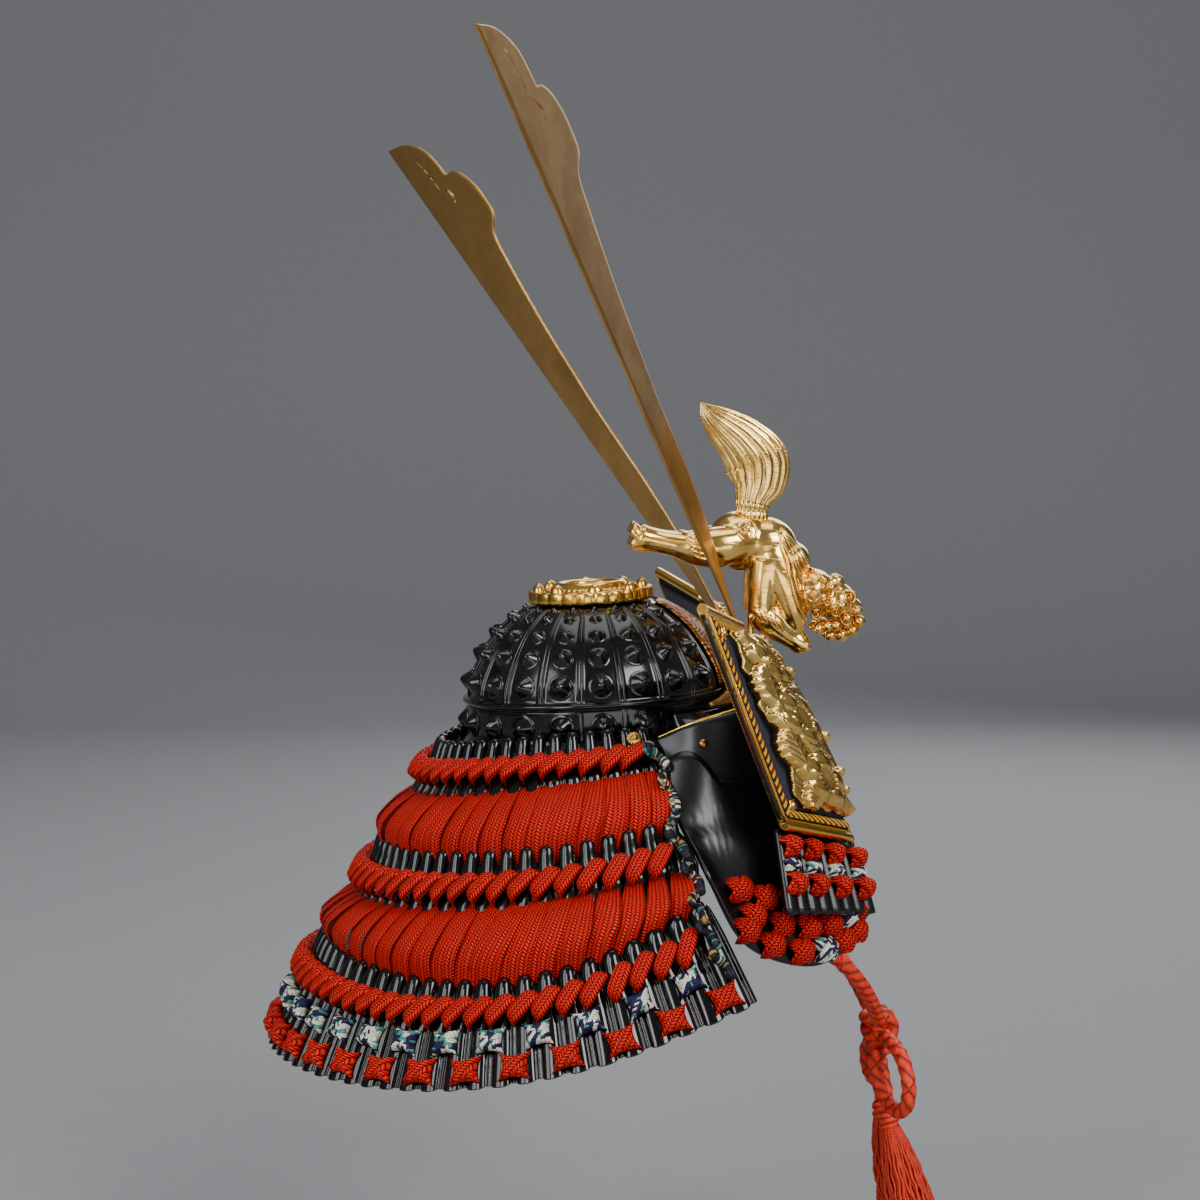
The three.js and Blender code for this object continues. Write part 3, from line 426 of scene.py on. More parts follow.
def effect(name, inputs, outputs, build):
    """A shared node group. inputs and outputs are (name, kind) or (name, kind, default)."""
    tree = bpy.data.node_groups.new(name, "ShaderNodeTree")
    for label, kind, *default in inputs:
        socket = tree.interface.new_socket(name=label, in_out="INPUT", socket_type=kind)
        if default:
            socket.default_value = default[0]
    for label, kind in outputs:
        tree.interface.new_socket(name=label, in_out="OUTPUT", socket_type=kind)
    wires = Wires(tree)
    given = tree.nodes.new("NodeGroupInput")
    results = build(wires, {socket.name: socket for socket in given.outputs})
    last = tree.nodes.new("NodeGroupOutput")
    for label, value in results.items():
        wires.feed(last.inputs[label], value)
    return tree


def use(wires, tree, values):
    """Puts a node group into a tree and gives its outputs by name."""
    made = wires.node("ShaderNodeGroup", node_tree=tree)
    for key, value in values.items():
        wires.feed(made.inputs[key], value)
    return {socket.name: socket for socket in made.outputs}


VECTOR, VALUE = "NodeSocketVector", "NodeSocketFloat"


def braid_rows(w, given):
    """Braid: columns of slanted stitches that lean the other way in every second column.
    Stitch row = floor((v + lean * across) / stitch), height = sine over stitch and column."""
    u, v, _ = w.split(given["Vector"])
    along = w.math("DIVIDE", u, given["Column"])
    column = w.math("FLOOR", along)
    across = w.math("SUBTRACT", along, column)
    odd = w.math("SUBTRACT", w.math("MULTIPLY", w.math("PINGPONG", column, 1.0), 2.0), 1.0)
    lean = w.math("MULTIPLY", w.math("MULTIPLY", across, given["Column"]), given["Slant"])
    shifted = w.math("DIVIDE", w.math("ADD", v, w.math("MULTIPLY", lean, odd)), given["Stitch"])
    row = w.math("FLOOR", shifted)
    inside = w.math("SUBTRACT", shifted, row)
    hill = w.math("SINE", w.math("MULTIPLY", inside, math.pi))
    crown = w.math("POWER", w.math("SINE", w.math("MULTIPLY", across, math.pi)), 0.3)
    height = w.math("MULTIPLY", w.math("POWER", hill, 0.6), crown)
    tone = w.scatter(w.join(column, row, 0.5))
    band = w.scatter(w.join(column, w.math("FLOOR", w.math("DIVIDE", shifted, 5.0)), 2.5))
    fibre = w.noise(w.join(w.math("MULTIPLY", shifted, 3.1), w.math("MULTIPLY", across, 0.7), column), 3.0)
    return {"Height": height, "Tone": tone, "Band": band, "Fibre": fibre}


BRAID = effect("braid", [("Vector", VECTOR), ("Column", VALUE, 1.1), ("Stitch", VALUE, 1.0),
                         ("Slant", VALUE, 0.9)],
               [("Height", VALUE), ("Tone", VALUE), ("Band", VALUE), ("Fibre", VALUE)], braid_rows)


def worn_metal(w, given):
    """Cast or beaten metal: soft dents, a few fine scratches, and stains that dull the polish."""
    spot = given["Vector"]
    dents = w.noise(spot, given["Dents"], 2.0)
    stain = w.span(w.noise(spot, 90.0, 6.0, 0.62), 0.42, 0.68, smooth=True)
    lines = w.noise(spot, 260.0, 2.0, 0.5, (1.0, 0.16, 1.0))
    scratch = w.span(w.math("ABSOLUTE", w.math("SUBTRACT", lines, 0.5)), 0.0, 0.018, 1.0, 0.0)
    speck = w.span(w.cells(spot, 620.0).outputs["Distance"], 0.05, 0.16, 1.0, 0.0)
    return {"Height": dents, "Stain": stain, "Scratch": scratch, "Speck": speck}


METAL = effect("worn_metal", [("Vector", VECTOR), ("Dents", VALUE, 220.0)],
               [("Height", VALUE), ("Stain", VALUE), ("Scratch", VALUE), ("Speck", VALUE)], worn_metal)


def twisted_strands(w, given):
    """Cord: strands wind round it, so the strand number is angle + length / lay; the fine
    yarn in a strand is a faster wave that leans the other way."""
    around, along, _ = w.split(given["Vector"])
    turn = w.math("ADD", w.math("MULTIPLY", around, given["Strands"]), w.math("DIVIDE", along, given["Lay"]))
    strand = w.math("FLOOR", turn)
    inside = w.math("SUBTRACT", turn, strand)
    hill = w.math("POWER", w.math("SINE", w.math("MULTIPLY", inside, math.pi)), 0.55)
    yarn = w.math("SINE", w.math("MULTIPLY", w.math("SUBTRACT", w.math("MULTIPLY", around, 34.0),
                                                    w.math("DIVIDE", along, 0.12)), 1.0))
    tone = w.scatter(w.join(strand, w.math("FLOOR", w.math("DIVIDE", along, 3.0)), 0.5))
    return {"Height": hill, "Yarn": w.math("MULTIPLY_ADD", yarn, 0.5, 0.5), "Tone": tone}


STRANDS = effect("twisted_strands", [("Vector", VECTOR), ("Strands", VALUE, 3.0), ("Lay", VALUE, 2.2)],
                 [("Height", VALUE), ("Yarn", VALUE), ("Tone", VALUE)], twisted_strands)


def lacquer_skin(w, given):
    """Lacquer: a faint orange-peel wave, a dull bloom in patches, and dust specks."""
    spot = given["Vector"]
    wave = w.noise(spot, 140.0, 2.0)
    bloom = w.span(w.noise(spot, 26.0, 5.0, 0.6), 0.38, 0.72, smooth=True)
    dust = w.span(w.cells(spot, 480.0).outputs["Distance"], 0.03, 0.1, 1.0, 0.0)
    return {"Height": wave, "Bloom": bloom, "Dust": w.math("MULTIPLY", dust, bloom)}


SKIN = effect("lacquer_skin", [("Vector", VECTOR)], [("Height", VALUE), ("Bloom", VALUE), ("Dust", VALUE)],
              lacquer_skin)


def srgb(r, g, b):
    """A display colour out of 255 as the linear colour that nodes take."""
    c = np.array([r, g, b]) / 255
    c = np.where(c <= 0.04045, c / 12.92, ((c + 0.055) / 1.055) ** 2.4)
    return (*c.tolist(), 1.0)


def material(name, build, **constants):
    """A material on the Principled shader: constants go on its own sockets, and build wires
    Base Color, Roughness, Normal and the like."""
    made = bpy.data.materials.new(name)
    made.use_nodes = True
    shader = made.node_tree.nodes["Principled BSDF"]
    for key, value in constants.items():
        shader.inputs[key.replace("_", " ")].default_value = value
    wires = Wires(made.node_tree)
    place = wires.node("ShaderNodeTexCoord").outputs["Object"]
    strip = wires.node("ShaderNodeUVMap", uv_map="UVMap").outputs["UV"]
    # tone reads the shade value: a random tone for each piece of braid, tie and thread; painted shade on the
    # crown fitting, the wing relief and the lion's tail; a darker ground on the horn holder.
    tone = wires.node("ShaderNodeAttribute", attribute_name="shade").outputs["Fac"]
    for key, value in build(wires, place, strip, tone).items():
        wires.feed(shader.inputs[key], value)
    return made


def lacquer_finish(w, place, strip, tone):
    skin = use(w, SKIN, {"Vector": place})
    rough = w.math("ADD", w.span(skin["Bloom"], 0.0, 1.0, 0.10, 0.2), w.math("MULTIPLY", skin["Dust"], 0.25))
    colour = w.mix(w.math("MULTIPLY", skin["Dust"], 0.5), srgb(8, 8, 9), srgb(56, 53, 50))
    return {"Base Color": colour, "Roughness": rough, "Normal": w.bump(skin["Height"], 4e-5)}


def satin_finish(w, place, strip, tone):
    """The turned-back plates' lacquer: softer than the bowl's, a little orange-peeled."""
    skin = use(w, SKIN, {"Vector": place})
    peel = w.noise(place, 900.0, 2.0)
    rough = w.math("ADD", w.span(skin["Bloom"], 0.0, 1.0, 0.24, 0.36), w.math("MULTIPLY", skin["Dust"], 0.2))
    colour = w.mix(w.math("MULTIPLY", skin["Dust"], 0.6), srgb(12, 11, 13), srgb(66, 62, 60))
    height = w.math("ADD", skin["Height"], w.math("MULTIPLY", peel, 0.3))
    return {"Base Color": colour, "Roughness": rough, "Normal": w.bump(height, 5e-5)}


def metal_finish(bright, dull, smooth, rough, depth=5e-5, dents=220.0):
    """A metal whose colour goes from bright to dull and whose polish goes from smooth to
    rough where it is stained."""
    def build(w, place, strip, tone):
        worn = use(w, METAL, {"Vector": place, "Dents": dents})
        colour = w.mix(w.math("MULTIPLY", worn["Stain"], 0.8), srgb(*bright), srgb(*dull))
        # Painted shade: the shade value darkens the metal in the crown's flutes, the relief's hollows and the
        # tail's grooves. On the horn holder it darkens the ground inside the rolled border.
        colour = w.mix(w.math("MULTIPLY", tone, 0.85), colour, srgb(*(0.34 * np.array(dull)).tolist()))
        dullness = w.math("ADD", w.span(worn["Stain"], 0, 1, smooth, rough),
                          w.math("MULTIPLY", worn["Speck"], 0.12))
        height = w.math("SUBTRACT", worn["Height"], w.math("MULTIPLY", worn["Scratch"], 0.25))
        return {"Base Color": colour, "Roughness": dullness, "Normal": w.bump(height, depth)}
    return build


def brushed_finish(w, place, strip, tone):
    """Horn brass: long fine scratches up the blade over slow patches of tarnish."""
    grain = w.noise(strip, 1.0, 4.0, 0.65, (9.0, 0.22, 1.0))
    fine = w.noise(strip, 1.0, 2.0, 0.5, (34.0, 0.9, 1.0))
    patch = w.span(w.noise(strip, 0.05, 5.0, 0.6), 0.35, 0.7, smooth=True)
    colour = w.mix(w.math("MULTIPLY", patch, 0.7), srgb(226, 178, 104), srgb(176, 130, 70))
    colour = w.mix(w.span(grain, 0.35, 0.7, 0.0, 0.35), colour, srgb(140, 98, 50))
    rough = w.math("ADD", w.span(fine, 0.3, 0.7, 0.26, 0.4), w.math("MULTIPLY", patch, 0.08))
    normal = w.bump(w.math("ADD", w.math("MULTIPLY", grain, 0.6), w.math("MULTIPLY", fine, 0.4)), 5e-5)
    return {"Base Color": colour, "Roughness": rough, "Normal": normal}


def chased_finish(w, place, strip, tone):
    """Copper-gilt plate: scrolls chased round staggered centres, dark in the tool marks."""
    cell = w.node("ShaderNodeVectorMath", {0: strip, 1: (0.16, 0.16, 1.0)}, operation="MULTIPLY").outputs[0]
    heart = w.cells(cell, 1.0)
    away = w.node("ShaderNodeVectorMath", {0: cell, 1: heart.outputs["Position"]},
                  operation="SUBTRACT").outputs[0]
    x, y, _ = w.split(away)
    turn = w.math("DIVIDE", w.math("ARCTAN2", y, x), 2 * math.pi)
    reach = w.math("MULTIPLY", heart.outputs["Distance"], 6.5)
    spiral = w.math("SINE", w.math("MULTIPLY", w.math("ADD", reach, turn), 2 * math.pi))
    line = w.span(spiral, -0.3, 0.6, smooth=True)
    pits = w.span(w.cells(strip, 2.6).outputs["Distance"], 0.15, 0.4, smooth=True)
    worn = use(w, METAL, {"Vector": place, "Dents": 300.0})
    colour = w.mix(line, srgb(92, 52, 22), srgb(188, 124, 62))
    colour = w.mix(w.math("MULTIPLY", worn["Stain"], 0.5), colour, srgb(120, 72, 34))
    height = w.math("ADD", line, w.math("MULTIPLY", pits, 0.2))
    return {"Base Color": colour, "Roughness": w.span(line, 0, 1, 0.5, 0.3), "Normal": w.bump(height, 2.2e-4)}


def lacing_finish(dark, light, column, stitch):
    """Silk braid laid flat: the strip's own millimetres carry the stitches."""
    def build(w, place, strip, tone):
        braid = use(w, BRAID, {"Vector": strip, "Column": column, "Stitch": stitch, "Slant": 0.9})
        # Painted shade: the colour runs from the dark colour in the gaps between the stitches to the light
        # red on their tops, by the braid's height.
        lit = w.math("MULTIPLY", braid["Height"], w.span(braid["Fibre"], 0.3, 0.7, 0.75, 1.0))
        colour = w.mix(w.span(lit, 0.3, 0.85), srgb(*dark), srgb(*light))
        faded = w.math("ADD", w.math("MULTIPLY", braid["Tone"], 0.35), w.math("MULTIPLY", tone, 0.4))
        colour = w.mix(w.math("MULTIPLY", faded, 0.45), colour, srgb(*(0.62 * np.array(light)).tolist()))
        height = w.math("ADD", braid["Height"], w.math("MULTIPLY", braid["Fibre"], 0.25))
        return {"Base Color": colour, "Roughness": w.span(braid["Fibre"], 0.3, 0.7, 0.5, 0.7),
                "Normal": w.bump(height, 4.5e-4)}
    return build


def mixed_finish(w, place, strip, tone):
    """Braid of cream, teal and dark blue threads: short runs of one colour, no two ties alike."""
    u, v, _ = w.split(strip)
    moved = w.join(w.math("MULTIPLY_ADD", tone, 37.0, u), v, 0.0)
    braid = use(w, BRAID, {"Vector": moved, "Column": 1.0, "Stitch": 0.8, "Slant": 0.8})
    pick = w.math("ADD", w.math("MULTIPLY", braid["Band"], 0.6), w.math("MULTIPLY", braid["Tone"], 0.4))
    colour = w.mix(w.math("GREATER_THAN", pick, 0.45), srgb(226, 222, 202), srgb(64, 142, 132))
    colour = w.mix(w.math("GREATER_THAN", pick, 0.57), colour, srgb(30, 22, 66))
    # Painted shade: the colour goes almost black where the braid is low, between the stitches.
    colour = w.mix(w.span(braid["Height"], 0.1, 0.6, 0.75, 0.0), colour, srgb(24, 22, 30))
    return {"Base Color": colour, "Roughness": w.span(braid["Fibre"], 0.3, 0.7, 0.45, 0.65),
            "Normal": w.bump(braid["Height"], 2.2e-4)}


def cloth_finish(w, place, strip, tone):
    """Dark twill: fine diagonal ribs crossed by a plain weave, with a woven diamond ground."""
    u, v, _ = w.split(strip)
    twill = w.math("SINE", w.math("MULTIPLY", w.math("ADD", u, v), 2 * math.pi / 0.42))
    weft = w.math("SINE", w.math("MULTIPLY", v, 2 * math.pi / 0.3))
    height = w.math("MULTIPLY_ADD", w.math("ADD", twill, w.math("MULTIPLY", weft, 0.5)), 0.3, 0.5)
    diamond = w.math("MULTIPLY", w.math("PINGPONG", w.math("ADD", u, v), 2.1),
                     w.math("PINGPONG", w.math("SUBTRACT", u, v), 2.1))
    figure = w.span(diamond, 0.9, 1.5, smooth=True)
    fuzz = w.noise(strip, 1.6, 4.0)
    # Painted shade: the twill's grooves are darker and its raised threads lighter, by the weave's height.
    colour = w.mix(w.span(height, 0.2, 0.9), srgb(16, 15, 32), srgb(44, 42, 72))
    colour = w.mix(w.math("MULTIPLY", figure, 0.35), colour, srgb(70, 52, 74))
    colour = w.mix(w.math("MULTIPLY", fuzz, 0.25), colour, srgb(26, 24, 40))
    return {"Base Color": colour, "Roughness": w.span(fuzz, 0.3, 0.7, 0.75, 0.92),
            "Normal": w.bump(height, 1.2e-4)}


def dark_mixed_finish(w, place, strip, tone):
    """The edge braid: mostly blue-black threads with cream, teal and straw flecks."""
    braid = use(w, BRAID, {"Vector": strip, "Column": 0.8, "Stitch": 0.7, "Slant": 1.0})
    pick = braid["Tone"]
    colour = w.mix(w.math("GREATER_THAN", pick, 0.17), srgb(206, 200, 172), srgb(60, 120, 112))
    colour = w.mix(w.math("GREATER_THAN", pick, 0.28), colour, srgb(18, 17, 34))
    colour = w.mix(w.math("GREATER_THAN", pick, 0.93), colour, srgb(164, 122, 52))
    # Painted shade: the colour goes almost black where the braid is low, between the stitches.
    colour = w.mix(w.span(braid["Height"], 0.1, 0.6, 0.75, 0.0), colour, srgb(10, 10, 14))
    return {"Base Color": colour, "Roughness": w.span(braid["Fibre"], 0.3, 0.7, 0.4, 0.6),
            "Normal": w.bump(braid["Height"], 2.2e-4)}


def tape_finish(w, place, strip, tone):
    """Narrow two-strand braid: slanted yellow lozenges parted by dark red and blue-black."""
    u, v, _ = w.split(strip)
    step = w.math("DIVIDE", w.math("ADD", v, w.math("MULTIPLY", u, 1.1)), 2.3)
    part = w.math("FRACT", step)
    which = w.math("PINGPONG", w.math("FLOOR", step), 1.0)
    tick = w.math("MULTIPLY", w.span(part, 0.42, 0.5, smooth=True), w.span(part, 0.9, 0.98, 1.0, 0.0, True))
    side = w.math("ABSOLUTE", w.math("SUBTRACT", u, 1.3))
    edge = w.span(side, 1.05, 1.3, smooth=True)
    slanted = w.math("MULTIPLY", w.math("SUBTRACT", v, u), 2 * math.pi / 0.4)
    thread = w.math("MULTIPLY_ADD", w.math("SINE", slanted), 0.5, 0.5)
    fuzz = w.noise(strip, 2.2, 3.0)
    ink = w.mix(which, srgb(140, 16, 6), srgb(24, 20, 48))
    colour = w.mix(tick, w.mix(fuzz, srgb(255, 206, 24), srgb(246, 172, 10)), ink)
    colour = w.mix(edge, colour, srgb(30, 20, 26))
    # Painted shade: a brown laid in the grooves between the threads.
    colour = w.mix(w.span(thread, 0.0, 0.4, 0.25, 0.0), colour, srgb(150, 70, 8))
    height = w.math("ADD", w.math("MULTIPLY", thread, 0.4), w.math("SINE", w.math("MULTIPLY", part, math.pi)))
    return {"Base Color": colour, "Roughness": w.span(fuzz, 0.3, 0.7, 0.55, 0.75),
            "Normal": w.bump(height, 3e-4)}


def cord_finish(strands, lay, dark, light, depth=3.0e-4):
    """Satin cord or thread, with painted shade between its strands and a painted sheen along its fine yarn.
    """
    def build(w, place, strip, tone):
        twist = use(w, STRANDS, {"Vector": strip, "Strands": strands, "Lay": lay})
        # Painted shade: the dark colour lies between the strands, the light colour on their crowns.
        colour = w.mix(w.span(twist["Height"], 0.25, 1.0), srgb(*dark), srgb(*light))
        colour = w.mix(w.math("MULTIPLY", w.math("ADD", twist["Tone"], w.math("MULTIPLY", tone, 1.2)), 0.22),
                       colour, srgb(*(0.6 * np.array(light)).tolist()))
        # Painted sheen: a pale pink laid along the fine yarn.
        colour = w.mix(w.math("MULTIPLY", twist["Yarn"], 0.16), colour, srgb(246, 150, 118))
        height = w.math("ADD", twist["Height"], w.math("MULTIPLY", twist["Yarn"], 0.18))
        return {"Base Color": colour, "Roughness": w.span(twist["Yarn"], 0, 1, 0.5, 0.4),
                "Normal": w.bump(height, depth)}
    return build


def paper_finish(w, place, strip, tone):
    """Studio paper: pale, with a fibre just visible."""
    fibre = w.noise(place, 160.0, 5.0, 0.6)
    return {"Base Color": w.mix(fibre, srgb(142, 143, 146), srgb(150, 151, 154)),
            "Roughness": w.span(fibre, 0, 1, 0.8, 0.95), "Normal": w.bump(fibre, 5e-5)}


LACQUER = material("black_lacquer", lacquer_finish, Coat_Weight=0.3, Coat_Roughness=0.06, IOR=1.5,
                   Specular_IOR_Level=0.38)
SATIN = material("satin_lacquer", satin_finish, IOR=1.5)
GILT = material("gilt_brass", metal_finish((255, 204, 96), (200, 140, 52), 0.18, 0.32), Metallic=1.0)
PALE_GILT = material("pale_cast_gilt", metal_finish((255, 212, 120), (214, 156, 70), 0.14, 0.28, 6e-5,
                                                    260.0), Metallic=1.0)
BRASS = material("brushed_horn_brass", brushed_finish, Metallic=1.0, Anisotropic=0.35)
SOCKET_BRASS = material("worn_socket_brass", metal_finish((190, 146, 78), (116, 82, 42), 0.3, 0.48),
                        Metallic=1.0)
COPPER_GILT = material("copper_gilt_chased", chased_finish, Metallic=1.0)
COPPER = material("copper_gilt_plain", metal_finish((196, 128, 72), (130, 78, 40), 0.28, 0.42), Metallic=1.0)
# The lacing's first colour is the painted shade between its stitches, the second the red of their tops.
LACING = material("red_silk_lacing", lacing_finish((44, 1, 0), (255, 26, 2), 1.25, 1.0),
                  Specular_IOR_Level=0.22)
MIXED = material("mixed_silk_lacing", mixed_finish, Specular_IOR_Level=0.3)
DARK_MIXED = material("edge_silk_braid", dark_mixed_finish, Specular_IOR_Level=0.3)
TAPE = material("ticked_braid_tape", tape_finish, Specular_IOR_Level=0.3)
CLOTH = material("navy_twill", cloth_finish, Sheen_Weight=0.08, Sheen_Roughness=0.5)
# The cord's and thread's first colour is the painted shade between their strands.
CORD = material("satin_cord", cord_finish(3.0, 2.2, (92, 4, 0), (255, 44, 8)), Specular_IOR_Level=0.3)
THREAD = material("tassel_thread", cord_finish(2.0, 0.8, (110, 6, 0), (255, 46, 10), 6e-5),
                  Specular_IOR_Level=0.3)
PAPER = material("studio_paper", paper_finish)


def studio_sweep():
    """Floor and backdrop in one sheet: level, then a quarter turn up behind, then upright.
    A grid of the profile (distance, height) carried across the width."""
    turn = np.linspace(0, np.pi / 2, 24)
    bend = np.stack([1500 + 600 * np.sin(turn), 600 - 600 * np.cos(turn)], -1)
    profile = np.concatenate([[[-2200, 0]], bend, [[2100, 2600]]])
    across = np.array([-9000.0, 9000.0])
    floor = LOWEST + SEAT_HEIGHT - FLOOR_GAP
    points = np.stack(np.broadcast_arrays(profile[:, None, 0], across[None, :], profile[:, None, 1] + floor),
                      -1)
    sheet = Shape().add(points, grid_faces(len(profile), 2), points[..., :2])
    mesh = bpy.data.meshes.new("studio_sweep")
    vertices, faces, _, _ = sheet.arrays()
    mesh.from_pydata(frame_points(vertices).tolist(), [], faces.tolist())
    mesh.polygons.foreach_set("use_smooth", np.ones(len(faces), bool))
    piece = bpy.data.objects.new("studio_sweep", mesh)
    bpy.context.scene.collection.objects.link(piece)
    mesh.materials.append(PAPER)


studio_sweep()


# ------------------------------------------------------------------ chin cord, loops, knot and tassels
STRAP_ROUTE = [[31, -15.5, -16.5], [32.2, -19, -22.2], [33.4, -22.8, -28.2], [34.8, -27, -34],
               [36.2, -31.6, -39.6], [37.3, -36.8, -45], [38.2, -42.4, -50.2], [38.8, -48.6, -55.8],
               [39, -55, -61.2], [38.6, -61.2, -66.2], [37.2, -67.2, -71], [34.2, -72.4, -76],
               [29.6, -76.4, -81], [24, -79.6, -86], [17, -82.6, -91.4], [9.4, -85.2, -97.2]]
LOOP_ROUTE = [[8, -87.4, -102], [11.4, -88.2, -102.6], [15, -89, -103.2], [18.6, -89.8, -104.3],
              [22.2, -90.6, -106.2], [25, -91.2, -109], [26.6, -91.6, -112.4], [26.6, -91.6, -116],
              [24.8, -91.2, -119.4], [21.6, -90.2, -121.8], [17.8, -88.8, -122.2], [14, -87.2, -120.6],
              [11.2, -85.6, -117.6], [9.8, -84.7, -114], [9, -84.5, -110.4], [7.4, -85.4, -107]]
TAIL_ROUTE = [[3.2, -86.8, -110.6], [4.2, -87.4, -115], [5.2, -88.2, -120], [6, -88.8, -125]]


def sided(points, side):
    """Points of the left side, or mirrored for the right."""
    return np.asarray(points, float) * [side, 1, 1]


def cord_tube(name, route, side, node):
    """A cord of three strands: a lobed circle carried along the route in 0.7 mm steps and
    turned as it goes."""
    line = eased(sided(route, side), 400)
    length = run_lengths(line)
    count = int(length[-1] / 0.7) + 2
    even = np.linspace(0, length[-1], count)
    path = np.stack([np.interp(even, length, line[:, k]) for k in range(3)], -1)
    shape = Shape()
    sweep(shape, path, CORD_DIAMETER / 2, 18, lobes=3, depth=0.07, twist=2 * np.pi * length[-1] / CORD_LAY)
    return make_piece(name, shape, CORD, node), frame_points(path), length[-1] / 1000


def turn_of_cord(center, axis, radii, rise=0.0):
    """One turn of cord round an axis, starting on the right and drifting along the axis by
    rise: center + radii[0] cos(angle) + radii[1] sin(angle) along the two crossways
    directions."""
    axis = unit(np.asarray(axis, float))
    across = unit(np.array([1.0, 0, 0]) - axis * axis[0])
    other = np.cross(axis, across)
    angle = np.linspace(0, 2 * np.pi, 40)[:, None]
    return (np.asarray(center) + across * radii[0] * np.cos(angle) + other * radii[1] * np.sin(angle)
            + axis * rise * angle / (2 * np.pi))


def knot_shape():
    """The tie: two turns round the strands, a turn across them and a heart that fills it."""
    shape = Shape()
    turns = [turn_of_cord((0, -86.2, -98.2), (0.1, 0, 1), (4.4, 3.6), 0.4),
             turn_of_cord((0, -86.8, -102), (-0.25, 0, 1), (4.9, 3.8), -0.5),
             turn_of_cord((-0.4, -87.2, -105.3), (0.2, 0.1, 1), (4.3, 3.5))]
    for path in turns:
        sweep(shape, path[:-1], CORD_DIAMETER * 0.46, 14, closed=True, lobes=3, depth=0.07, twist=4 * np.pi)
    for x in (-3.0, 3.0):
        path = eased([[x, -84.6, -95.6], [x * 1.1, -88.8, -97.6], [x * 0.3, -91, -101.6],
                      [-x * 0.9, -89.6, -106], [-x, -86.4, -108.8]], 40)
        sweep(shape, path, CORD_DIAMETER * 0.45, 14, lobes=3, depth=0.07, twist=4 * np.pi)
    profile = [(0.0, -108.0), (3.0, -107), (4.2, -102), (3.6, -97.4), (0.0, -95.4)]
    lathe(shape, profile, 16, lambda p: p + [0, -86.4, 0])
    return shape


def tassel_parts(side):
    """A bound head of wound thread and a skirt of threads. Each thread leaves the head at an
    angle, spreads as length to the power 0.62, sways with the whole tassel and curls in a
    helix whose radius grows towards its looped end."""
    top = np.array([side * 6.4, -89.2, -127.9])
    head = Shape()
    profile = [(0.0, 2.2), (1.9, 2.0), (3.0, 1.0), (3.2, -0.2), (2.7, -1.4), (3.1, -2.2), (2.6, -3.4),
               (0.0, -3.9)]
    lathe(head, eased(profile, 26), 26, lambda p: p + top, ripple=lambda a, k: 1 + 0.03 * np.cos(13 * a))
    threads, steps, sides = 240, 20, 4
    angle = chance.uniform(0, 2 * np.pi, threads)
    reach = np.sqrt(chance.uniform(0.02, 1, threads))
    length = TASSEL_LENGTH * chance.uniform(0.86, 0.985, threads)
    t = np.linspace(0, 1, steps)
    spread = 2.2 + (8.4 * t[None] ** 0.62 + 1.0 * np.sin(np.pi * t)[None]) * reach[:, None]
    x = side * 7.5 * t[None] + spread * np.cos(angle)[:, None] * (0.35 + 0.65 * reach[:, None])
    y = -9 * t[None] + 0.75 * spread * np.sin(angle)[:, None] * (0.35 + 0.65 * reach[:, None])
    z = -1.5 - length[:, None] * t[None] ** 1.05
    phase = chance.uniform(0, 2 * np.pi, threads)[:, None]
    turns = chance.uniform(3.5, 6.5, threads)[:, None]
    curl = 0.55 * t[None] ** 0.7
    x = x + curl * np.cos(2 * np.pi * turns * t[None] + phase)
    y = y + curl * np.sin(2 * np.pi * turns * t[None] + phase)
    path = np.stack([x, y, z], -1) + top
    tangent = unit(np.gradient(path, axis=1))
    flat = np.broadcast_to(np.array([0.0, 1.0, 0.0]), tangent.shape)
    a = unit(np.cross(tangent, flat))
    b = np.cross(tangent, a)
    ring = np.linspace(0, 2 * np.pi, sides, endpoint=False)
    thick = 0.42 * np.where(t < 0.97, 1.0, 0.6)[None, :, None, None]
    sideways = a[:, :, None] * np.cos(ring)[:, None] + b[:, :, None] * np.sin(ring)[:, None]
    points = path[:, :, None] + thick * sideways
    ends = np.repeat(path[:, [0, -1], None], sides, 2)
    points = np.concatenate([ends[:, :1], points, ends[:, 1:]], 1)
    faces = grid_faces(steps + 2, sides, wrap_cols=True)
    count = (steps + 2) * sides
    along = np.linspace(0, TASSEL_LENGTH, steps + 2)
    uv = np.stack(np.broadcast_arrays(ring[None] / (2 * np.pi), along[:, None]), -1).reshape(-1, 2)
    skirt = Shape()
    skirt.add(points, (faces[None] + (np.arange(threads) * count)[:, None, None]).reshape(-1, 4),
              np.tile(uv, (threads, 1)), np.repeat(chance.uniform(0, 1, threads), count))
    return head, skirt


knot = make_piece("tied_knot", knot_shape(), CORD, "cord_knot")
for name, side in SIDES:
    head, skirt = tassel_parts(side)
    bound = make_piece(f"tassel_head_{name}", head, CORD)
    threads = make_piece(f"tassel_threads_{name}", skirt, THREAD, f"tassel_{name}", merge=1e-4)
    tail = cord_tube(f"tail_cord_{name}", TAIL_ROUTE, side, f"cord_tail_{name}")[0]
    loop = cord_tube(f"bow_loop_{name}", LOOP_ROUTE, side, f"cord_loop_{name}")
    strap = cord_tube(f"chin_strap_{name}", STRAP_ROUTE, side, f"chin_cord_{name}")


